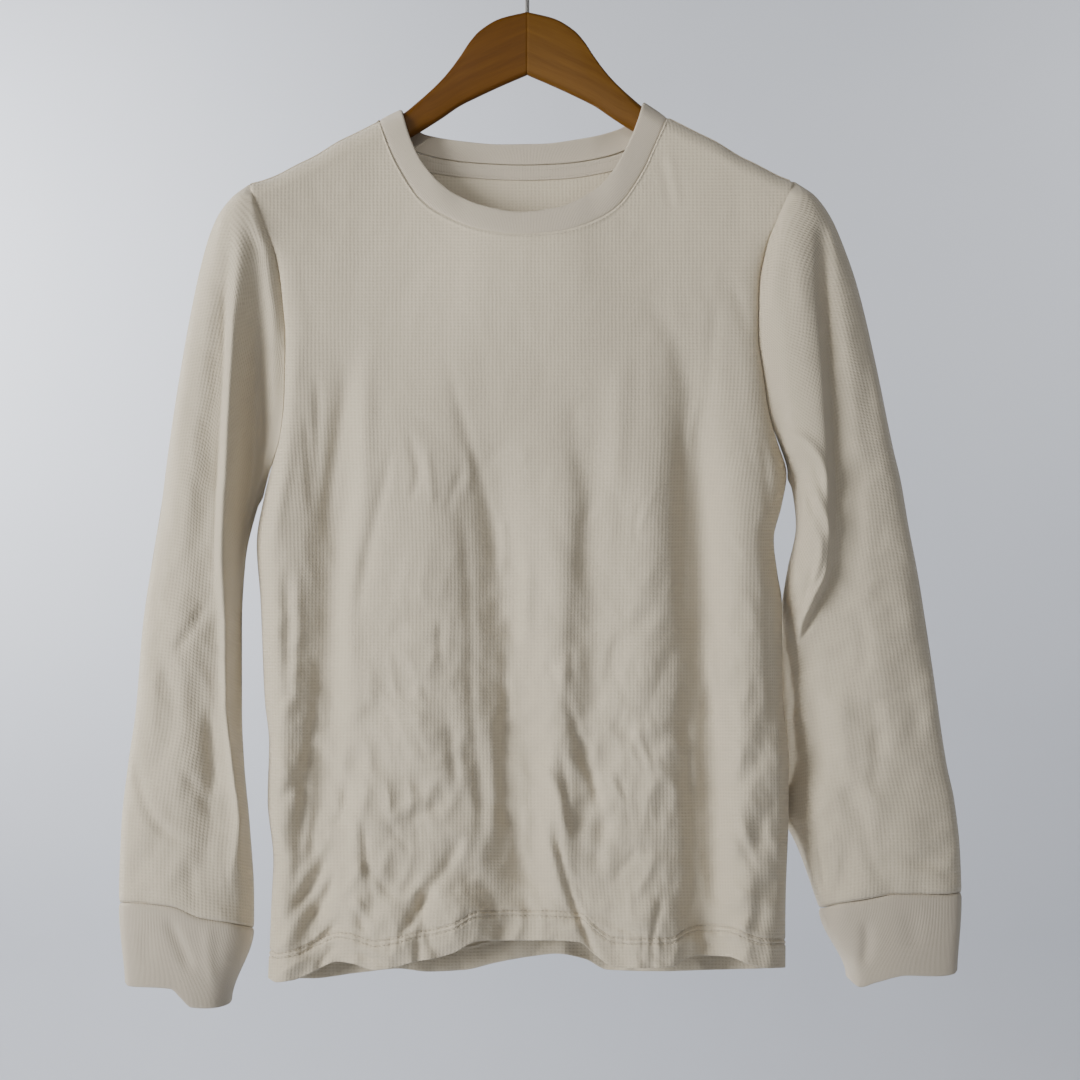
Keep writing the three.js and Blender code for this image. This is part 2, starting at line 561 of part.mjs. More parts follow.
// Rounded-rectangle section of a hanger arm at a distance from the mitre
function armRing(x, sign, shrink = 1) {
  const [top, bottom] = [armTopAt(x), armBottomAt(x)];
  const middle = (top + bottom) / 2;
  const halfHeight = ((top - bottom) / 2) * shrink;
  const halfWidth = (ARM.thickness / 2) * shrink;
  const radius = ARM.corner * shrink;
  const ring = [];
  for (const [cy, cz, start] of [[1, 1, 0], [-1, 1, 90], [-1, -1, 180], [1, -1, 270]]) {
    for (const turn of [0, 45, 90]) {
      const angle = THREE.MathUtils.degToRad(start + turn);
      ring.push(fromView(
        sign * x,
        armYAt(x) + cy * (halfWidth - radius) + radius * Math.cos(angle),
        middle + cz * (halfHeight - radius) + radius * Math.sin(angle),
      ));
    }
  }
  return ring;
}

function toSolid(geometry) {
  const merged = mergeVertices(geometry, 1e-4);
  return new wasm.Manifold(new wasm.Mesh({
    numProp: 3,
    vertProperties: new Float32Array(merged.attributes.position.array),
    triVerts: new Uint32Array(merged.index.array),
  }));
}

function toGeometry(solid) {
  const mesh = solid.getMesh();
  const geometry = new THREE.BufferGeometry();
  geometry.setAttribute('position', new THREE.Float32BufferAttribute(mesh.vertProperties, 3));
  geometry.setIndex([...mesh.triVerts]);
  return geometry;
}

function hangerArm(sign) {
  const rings = [SEAM_GAP / 2, ...ARM.stations].map((x) => armRing(x, sign));
  rings.push(...ARM.tip.map(({ x, shrink }) => armRing(x, sign, shrink)));
  const boreRadius = HOOK.wire / 2 + SEAM_GAP;
  const bore = new THREE.CylinderGeometry(boreRadius, boreRadius, 2 * HOOK.seat, 16);
  bore.rotateX(Math.PI / 2);
  bore.translate(0, 0, armTop[0].z);
  bore.deleteAttribute('normal');
  bore.deleteAttribute('uv');
  return toGeometry(toSolid(loft(rings)).subtract(toSolid(bore)));
}

// The wire runs up out of the mitre, bends aside and turns back over the crook
function hookPath() {
  const centreRadius = HOOK.crookRadius + HOOK.wire / 2;
  const join = THREE.MathUtils.degToRad(HOOK.joinAngle);
  const joinPoint = { x: centreRadius * Math.cos(join), z: -HOOK.crookRadius - centreRadius * Math.sin(join) };
  const bendRadius = joinPoint.x / (1 - Math.cos(join));
  const bendStart = joinPoint.z - bendRadius * Math.sin(join);
  const path = [];
  const foot = armTop[0].z - HOOK.seat + SEAM_GAP;
  for (let i = 0; i <= HOOK.stemSteps; i += 1) {
    path.push({ x: 0, z: mix(foot, bendStart, i / HOOK.stemSteps), turn: 0 });
  }
  for (let i = 1; i <= HOOK.bendSteps; i += 1) {
    const angle = (join * i) / HOOK.bendSteps;
    path.push({
      x: bendRadius * (1 - Math.cos(angle)),
      z: bendStart + bendRadius * Math.sin(angle),
      turn: angle,
    });
  }
  const end = THREE.MathUtils.degToRad(HOOK.endAngle);
  for (let i = 1; i <= HOOK.crookSteps; i += 1) {
    const angle = mix(-join, end, i / HOOK.crookSteps);
    path.push({
      x: centreRadius * Math.cos(angle),
      z: -HOOK.crookRadius + centreRadius * Math.sin(angle),
      turn: -angle,
    });
  }
  return path;
}

function hangerHook() {
  const ringAt = ({ x, z, turn }, radius) => Array.from({ length: HOOK.sides }, (_, k) => {
    const angle = (2 * Math.PI * k) / HOOK.sides;
    const out = radius * Math.cos(angle);
    return new THREE.Vector3(x + out * Math.cos(turn), radius * Math.sin(angle), z - out * Math.sin(turn));
  });
  const path = hookPath();
  const radius = HOOK.wire / 2;
  const rings = path.map((point) => ringAt(point, radius));
  const last = path[path.length - 1];
  const [dx, dz] = [Math.sin(last.turn), Math.cos(last.turn)];
  for (const { reach, size } of HOOK.tip) {
    rings.push(ringAt({ x: last.x + dx * reach, z: last.z + dz * reach, turn: last.turn }, radius * size));
  }
  return loft(rings);
}

const top = new THREE.Group();
top.name = 'thermal_top_on_hanger';

function add(name, geometry, color, roughness, metalness = 0) {
  const material = new THREE.MeshStandardMaterial({ color, roughness, metalness });
  const mesh = new THREE.Mesh(geometry, material);
  mesh.name = name;
  top.add(mesh);
}

function piece(grid, turn, closed = false) {
  return { grid, closed, normals: gridNormals(grid, closed, turn) };
}

const front = piece(panelGrid(panelColumns(frontStations), frontHemAt, -1), -1);
const back = piece(panelGrid(panelColumns(backStations), backHemAt, 1), 1);
const band = piece(neckRing(), 1, true);
const tape = piece(tapeGrid(), 1);
const lastFront = front.grid[0].length - 1;
const lastBack = back.grid[0].length - 1;

// Shoulder seams, then side seams, then the neck seam
for (let k = 0; k <= SHOULDER_STEPS; k += 1) {
  shareNormal(front.normals[0][k], back.normals[0][k]);
  shareNormal(front.normals[0][lastFront - k], back.normals[0][lastBack - k]);
}
for (let i = ARMHOLE_STEPS; i <= ARMHOLE_STEPS + LOWER_STEPS; i += 1) {
  shareNormal(front.normals[i][0], back.normals[i][0]);
  shareNormal(front.normals[i][lastFront], back.normals[i][lastBack]);
}
for (let k = 0; k <= FRONT_NECK_STEPS; k += 1) {
  band.normals[0][k].copy(front.normals[0][SHOULDER_STEPS + k]);
}
for (let k = 1; k < BACK_NECK_STEPS; k += 1) {
  band.normals[0][FRONT_NECK_STEPS + k].copy(back.normals[0][lastBack - SHOULDER_STEPS - k]);
}

add('body_front', wall(front, CLOTH_WALL), WAFFLE_CREAM, 0.9);
add('body_back', wall(back, CLOTH_WALL), WAFFLE_CREAM, 0.9);
add('neckband', wall(band, BAND_WALL), PLAIN_CREAM, 0.85);
add('back_neck_tape', wall(tape, TAPE.wall), PLAIN_CREAM, 0.85);

for (const name of ['left', 'right']) {
  const turn = -SIDES[name].sign;
  const sleeve = piece(sleeveGrid(name), turn, true);
  const cuff = piece(cuffGrid(name, sleeve.grid), turn, true);
  const edge = name === 'left' ? [0, 0] : [lastFront, lastBack];
  // The armhole seam shares the panels' normals, but for its foot, where the sleeve turns down
  for (let row = 0; row < ARMHOLE_STEPS - 1; row += 1) {
    const up = ARMHOLE_STEPS - row;
    sleeve.normals[0][up].copy(front.normals[row][edge[0]]);
    if (row > 0) sleeve.normals[0][2 * ARMHOLE_STEPS - up].copy(back.normals[row][edge[1]]);
  }
  cuff.normals[0].forEach((normal, k) => shareNormal(normal, sleeve.normals[SLEEVE_STEPS][k]));
  add(`sleeve_${name}`, wall(sleeve, CLOTH_WALL), WAFFLE_CREAM, 0.9);
  add(`cuff_${name}`, wall(cuff, BAND_WALL), PLAIN_CREAM, 0.85);
}
add('hanger_arm_left', hangerArm(-1), WOOD_BROWN, 0.45);
add('hanger_arm_right', hangerArm(1), WOOD_BROWN, 0.45);
add('hanger_hook', hangerHook(), STEEL_GREY, 0.35, 0.9);

export default top;
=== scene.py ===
import math

import bpy
import numpy as np
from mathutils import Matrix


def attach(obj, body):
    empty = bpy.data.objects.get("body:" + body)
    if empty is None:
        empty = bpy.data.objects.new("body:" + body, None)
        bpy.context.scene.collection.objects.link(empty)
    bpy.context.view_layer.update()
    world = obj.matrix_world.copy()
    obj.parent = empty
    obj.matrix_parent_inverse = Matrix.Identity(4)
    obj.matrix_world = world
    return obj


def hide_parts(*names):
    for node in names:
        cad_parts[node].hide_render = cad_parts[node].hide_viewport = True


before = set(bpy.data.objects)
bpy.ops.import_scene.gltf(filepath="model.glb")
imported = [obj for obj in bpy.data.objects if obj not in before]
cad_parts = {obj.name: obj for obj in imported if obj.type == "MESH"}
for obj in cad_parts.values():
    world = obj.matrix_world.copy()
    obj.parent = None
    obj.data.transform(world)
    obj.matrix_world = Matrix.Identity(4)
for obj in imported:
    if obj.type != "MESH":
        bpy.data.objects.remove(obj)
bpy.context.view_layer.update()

# A waffle-knit top on a wooden hanger. Shapes are worked out in millimetres on the hook's plane and become
# metres when a mesh is made: x to the right, y away from the camera, z up from the hook's inside top.
view = {
    "x": 9.0, "z": -440.0, "distance": 900.0, "lens": 42.86, "sensor": 36.0,
    "perPixel": 0.70, "middle": 527.0, "topZ": -61.6,  # from a pixel of the 1080 wide picture to x and z
}


def ease(t):
    t = np.clip(t, 0, 1)
    return t * t * (3 - 2 * t)


def quarterRound(t):  # upright at 0 and level at 1
    return np.sqrt(1 - (1 - np.clip(t, 0, 1)) ** 2)


def bell(distance, width):
    return np.exp(-(distance / width) ** 2)


def mix(a, b, t):
    return a + (b - a) * t


def unit(v):
    return v / np.maximum(np.linalg.norm(v, axis=-1, keepdims=True), 1e-12)


def curve(rows):
    # a cubic through the points, whose slope at each is the harmonic mean of the slopes beside it
    a, b = np.array(sorted(rows), float).T
    slope = np.diff(b) / np.maximum(np.diff(a), 1e-9)
    product = slope[:-1] * slope[1:]
    inner = np.where(product > 0, 2 * product / np.where(product > 0, slope[:-1] + slope[1:], 1), 0)
    tangent = np.concatenate(([slope[0]], inner, [slope[-1]]))

    def at(value):
        v = np.clip(value, a[0], a[-1])
        i = np.clip(np.searchsorted(a, v, side="right") - 1, 0, len(a) - 2)
        span = a[i + 1] - a[i]
        t = (v - a[i]) / span
        return ((2 * t ** 3 - 3 * t ** 2 + 1) * b[i] + (t ** 3 - 2 * t ** 2 + t) * span * tangent[i]
                + (3 * t ** 2 - 2 * t ** 3) * b[i + 1] + (t ** 3 - t ** 2) * span * tangent[i + 1])
    return at


def onPlane(path):  # pixels of the picture as x and z on the hook's plane
    x, down = np.array(path, float).T
    return np.stack([(x - view["middle"]) * view["perPixel"], view["topZ"] - down * view["perPixel"]], 1)


def fromView(x, y, z):
    # slides a place on the hook's plane along its line of sight to the depth y
    scale = (view["distance"] + y) / view["distance"]
    return np.stack([view["x"] + (x - view["x"]) * scale, y + 0 * scale,
                     view["z"] + (z - view["z"]) * scale], -1)


hanger = {
    "thickness": 11.0, "forward": 22.0, "reach": 212.0, "end": 190.0, "joint": -0.03, "clearance": 3.4,
    "corner": 2.2, "lowerRound": 1.7, "cornerUnderCloth": 4.6, "stations": 150, "cornerSteps": 7,
    "tip": 5.0, "tipSteps": 8, "cloth": 62.0, "clothRise": 22.0,
    "top": [(0, -70.3), (19, -75), (33, -83.3), (40, -91), (47, -101.5), (54, -111), (61, -119), (75, -132),
            (89, -143.1), (104, -150.9), (121, -159.5), (131, -164.3), (149, -175.3), (159, -180.1),
            (177, -189.3), (186, -192.5), (194, -194.7), (200, -200)],
    "bottom": [(0, -114.8), (19, -123), (33, -129.5), (47, -136.5), (61, -146), (82, -158.9), (104, -170.5),
               (131, -184), (159, -198.5), (183, -209), (200, -213)],
}
hook = {
    "wire": 3.2, "crook": 18.0, "joinAngle": 50.0, "endAngle": 205.0, "seat": 24.0, "footGap": 0.3, "sides": 24,
    "stemSteps": 12, "bendSteps": 50, "crookSteps": 160,
    "tip": [(0.5, 0.95), (1.0, 0.78), (1.35, 0.5), (1.55, 0.2)],
}
neck = {
    "frontSeam": [(-103.6, -146.4), (-95.9, -166.6), (-88.9, -180.6), (-74.9, -200.9), (-60.9, -210.9),
                  (-32.9, -221.9), (-4.9, -225.4), (23.1, -223.3), (37.1, -219.8), (51.1, -214.2),
                  (65.1, -204.4), (81.2, -181), (93.1, -155), (98, -144.6)],
    "frontEdge": [(-89, -138.9), (-81.9, -161), (-74.9, -175), (-60.9, -191.1), (-46.9, -200.2),
                  (-32.9, -205.8), (-4.9, -210.7), (23.1, -207.2), (37.1, -201.6), (51.1, -192.5),
                  (65.1, -175), (75, -155), (82.5, -133.9)],
    "backSeam": [(-103.6, -146.4), (-96, -157), (-80, -168), (-60, -173.5), (-30, -176.5), (-4, -177.5),
                 (25, -176.5), (55, -172), (75, -165), (90, -154.5), (98, -144.6)],
    "backEdge": [(-89, -138.9), (-82, -150), (-71.4, -157.5), (-46.9, -161.7), (-18.9, -164.1), (9.1, -163.8),
                 (37.1, -160.3), (63.7, -154), (76, -146), (82.5, -133.9)],
    "leanDepth": 2.5, "overArm": 1.5, "leanReach": 68.0, "leanFade": 25.0, "gap": 0.12, "wall": 2.0,
    "rows": 14, "swell": 0.25, "dip": 0.35, "dipWidth": 1.2,
}
tape = {
    "width": 9.5, "wall": 0.8, "lift": 0.3, "reach": 84.0, "centre": -3.0, "drop": 1.0, "steps": 120,
    "rows": 24, "grooves": (2.7, 8.2), "groove": 0.17, "grooveWidth": 0.45,
    "stitch": {"pitch": 2.8, "length": 2.2, "thick": 0.4, "lift": 0.08},
}
body = {
    "sideY": -4.0, "overArm": 9.4, "frontDepth": 24.0, "backDepth": 13.0, "settle": 230.0,
    "shoulderRoll": 10.0, "sideRoll": 15.0, "hemIn": 0.6, "open": 0.62, "openRise": 42.0, "openTop": 25.0,
    "wall": 1.5, "join": 0.125,
    "slack": 0.12,  # how far under the shoulder line the panels start to part
    "hemInTop": -600.0, "hemInRise": 120.0, "hemReach": 181.0, "creaseIn": 10.0, "creaseTop": 6.0,
    "creaseRise": 18.0, "worn": (0.15, 1.3), "wornTop": -390.0, "wornRise": 250.0, "seed": 41,
    "leftTop": (-194.0, -191.3), "leftArmpit": -408.0, "rightTop": (186.4, -189.3), "rightArmpit": -394.0,
    "leftEdge": [(-191.3, -194), (-215.6, -184.8), (-245.7, -175), (-271.6, -171.5), (-299.6, -169.4),
                 (-336.7, -170.1), (-364.7, -172.9), (-388.5, -179), (-408, -184), (-443, -189.7),
                 (-481.6, -187), (-551.6, -184), (-581.7, -181), (-621.6, -182), (-663.6, -178),
                 (-691.6, -179.2), (-746, -181.3)],
    "rightEdge": [(-189.3, 186.4), (-213.5, 175.7), (-238, 166.6), (-262.5, 162.4), (-294.7, 161.7),
                  (-322.7, 165.2), (-350.7, 169.4), (-371.7, 175.7), (-394, 182), (-416, 178.5),
                  (-439.6, 173), (-464, 175.7), (-481.6, 178.5), (-550, 179.2), (-595.7, 183.4),
                  (-626, 183.4), (-691.6, 181.3), (-738.6, 180.8)],
    "frontHem": [(-181, -746), (-175, -749), (-163, -747.6), (-149, -742), (-131, -734.5), (-122, -735.5),
                 (-103, -740.6), (-89, -738.5), (-75, -734.5), (-61, -732.5), (-47, -728.7), (-31, -720.3),
                 (-19, -719.6), (15, -719.6), (37, -721), (46, -728.7), (60, -738), (76, -739.2),
                 (102, -738.5), (113, -732), (121, -730), (140, -730.8), (158, -737), (168, -739.2),
                 (181, -738.6)],
    "backHem": [(-181, -746), (-150, -746), (-115, -742), (-87, -739.2), (-66, -741.3), (-40, -740),
                (-19, -735), (0, -731.5), (23, -728.7), (42, -732.2), (58, -739.9), (95, -741),
                (130, -740), (181, -738.6)],
}
# broad folds: top x and z, foot x and z, width, how far forward
frontFolds = [
    (-125, -293, -148, -690, 18, -10), (-72, -320, -66, -735, 26, 4), (-29, -340, -2, -660, 20, -10),
    (25, -360, 22, -640, 13, 4), (46, -330, 44, -600, 9, -3), (84, -300, 86, -740, 18, 5),
    (113, -285, 130, -680, 14, -13), (151, -300, 154, -740, 16, 5), (-108, -600, -102, -745, 18, 3),
    (-22, -640, 6, -740, 26, -4), (76, -690, 78, -745, 16, 3),
]
backFolds = [
    (-130, -320, -138, -745, 16, 6), (-92, -360, -96, -745, 18, -5), (-44, -300, -50, -745, 17, 6),
    (6, -340, 4, -735, 22, -5), (52, -310, 60, -745, 16, 6), (96, -350, 104, -745, 18, -5),
    (138, -330, 142, -745, 15, 6),
]

armTopAt, armBottomAt = curve(hanger["top"]), curve(hanger["bottom"])
leftEdgeAt, rightEdgeAt = curve(body["leftEdge"]), curve(body["rightEdge"])
frontHemAt, backHemAt = curve(body["frontHem"]), curve(body["backHem"])
rowBend = 2.0  # how unevenly the rows are spaced


def armDepth(x):  # the arms sweep forward by the square of the distance from the mitre
    return -hanger["forward"] * (x / hanger["reach"]) ** 2


def shoulderAt(x):
    return armTopAt(np.abs(x)) + hanger["clearance"]


def rowDrop(q):  # rows close together at the shoulder, wide apart lower down: a hyperbola from 0 to 1
    return (np.sqrt(1 + (rowBend * q) ** 2) - 1) / (math.sqrt(1 + rowBend ** 2) - 1)


def rowAtDrop(drop):
    return np.sqrt((drop * (math.sqrt(1 + rowBend ** 2) - 1) + 1) ** 2 - 1) / rowBend


def foldDepth(folds, x, z):
    # bells across straight centre lines, which swell over the first part and die out past the foot
    total = np.zeros(np.broadcast(x, z).shape)
    for topX, topZ, footX, footZ, width, forward in folds:
        t = (z - topZ) / (footZ - topZ)
        centre = mix(topX, footX, np.clip(t, 0, 1))
        total += forward * bell(x - centre, width) * ease((t + 0.04) / 0.4) * ease((1.25 - t) / 0.2)
    return total


def soften(path, times=2):  # cuts the corners of a path
    for _ in range(times):
        ends, a, b = path[[0, -1]], path[:-1], path[1:]
        cut = np.stack([a * 0.75 + b * 0.25, a * 0.25 + b * 0.75], 1).reshape(-1, 2)
        path = np.concatenate((ends[:1], cut, ends[1:]))
    return path


def creaseHeight(creases, x, z):
    # a bell across each path, e to the minus square of the distance over the width, which swells from one
    # end and dies out at the other; skew tips it so that one flank is steeper
    total = np.zeros(x.shape)
    for path, width, height, skew in creases:
        near = ((x > path[:, 0].min() - 3 * width) & (x < path[:, 0].max() + 3 * width)
                & (z > path[:, 1].min() - 3 * width) & (z < path[:, 1].max() + 3 * width))
        if not near.any():
            continue
        px, pz = x[near], z[near]
        steps = np.diff(path, axis=0)
        lengths = np.hypot(steps[:, 0], steps[:, 1])
        starts = np.concatenate(([0], np.cumsum(lengths)))
        best = np.full(px.shape, np.inf)
        side, along = np.zeros(px.shape), np.zeros(px.shape)
        for (ax, az), (dx, dz), length, start in zip(path, steps, lengths, starts):
            t = np.clip(((px - ax) * dx + (pz - az) * dz) / length ** 2, 0, 1)
            offX, offZ = px - ax - t * dx, pz - az - t * dz
            distance = np.hypot(offX, offZ)
            closer = distance < best
            best = np.where(closer, distance, best)
            side = np.where(closer, np.sign(offX * dz - offZ * dx), side)
            along = np.where(closer, (start + t * length) / starts[-1], along)
        q = side * best / width
        total[near] += height * ease(along / 0.3) * ease((1 - along) / 0.3) * np.exp(-q * q) * (1 + skew * q)
    return total


flank = np.array((0.64, -0.28))  # from a crease's shaded flank to its middle, in widths, away from the light


def drawn(rows):
    # creases given in pixels of the picture: path, width, height, skew. A path follows the dark flank of a
    # trough or the bright flank of a ridge
    return [(soften(onPlane(path)) + flank * width, width, *rest) for path, width, *rest in rows]


stroke = {"length": (14, 60), "lean": 0.7, "bow": 0.18, "width": (2.2, 5.5), "least": 0.3, "skew": 0.5}


def smallCreases(seed, count, left, right, top, foot, height):
    # short strokes of uneven length and lean, scattered over a piece
    dice = np.random.default_rng(seed)
    made = []
    for _ in range(count):
        x, z = dice.uniform(left, right), dice.uniform(foot, top)
        length, lean = dice.uniform(*stroke["length"]), dice.normal(0, stroke["lean"])
        bow = dice.uniform(-stroke["bow"], stroke["bow"]) * length
        dx, dz = math.sin(lean) * length / 2, math.cos(lean) * length / 2
        middle = (x + bow * math.cos(lean), z + bow * math.sin(lean))
        path = soften(np.array([(x - dx, z + dz), middle, (x + dx, z - dz)]))
        width = dice.uniform(*stroke["width"])
        swell = dice.choice([-1, 1]) * dice.uniform(stroke["least"], 1) * height
        made.append((path, width, swell, dice.uniform(-stroke["skew"], stroke["skew"])))
    return made


crumples = {  # each wave's length, its height and how soft its edges are
    "waves": ((58.0, 1.6, 0.025), (25.0, -0.7, 0.05), (13.0, 0.2, 0.2)),
    "count": 14, "spread": (0.75, 1.4), "stretch": 0.6, "level": 0.8,
}


def crumple(seed, x, z):
    # wandering creases: the size of a sum of waves in all directions, longer up and down, which comes to a
    # soft edge along the sum's zero lines; long waves, less short ones
    dice = np.random.default_rng(seed)
    total = np.zeros(x.shape)
    for length, height, soft in crumples["waves"]:
        wave = np.zeros(x.shape)
        for _ in range(crumples["count"]):
            turn, phase = dice.uniform(0, math.pi), dice.uniform(0, 2 * math.pi)
            pace = 2 * math.pi / (length * dice.uniform(*crumples["spread"]))
            wave += np.cos(pace * (x * math.cos(turn) + z * math.sin(turn) * crumples["stretch"]) + phase)
        total += height * (np.sqrt(wave ** 2 * 2 / crumples["count"] + soft) - crumples["level"])
    return total


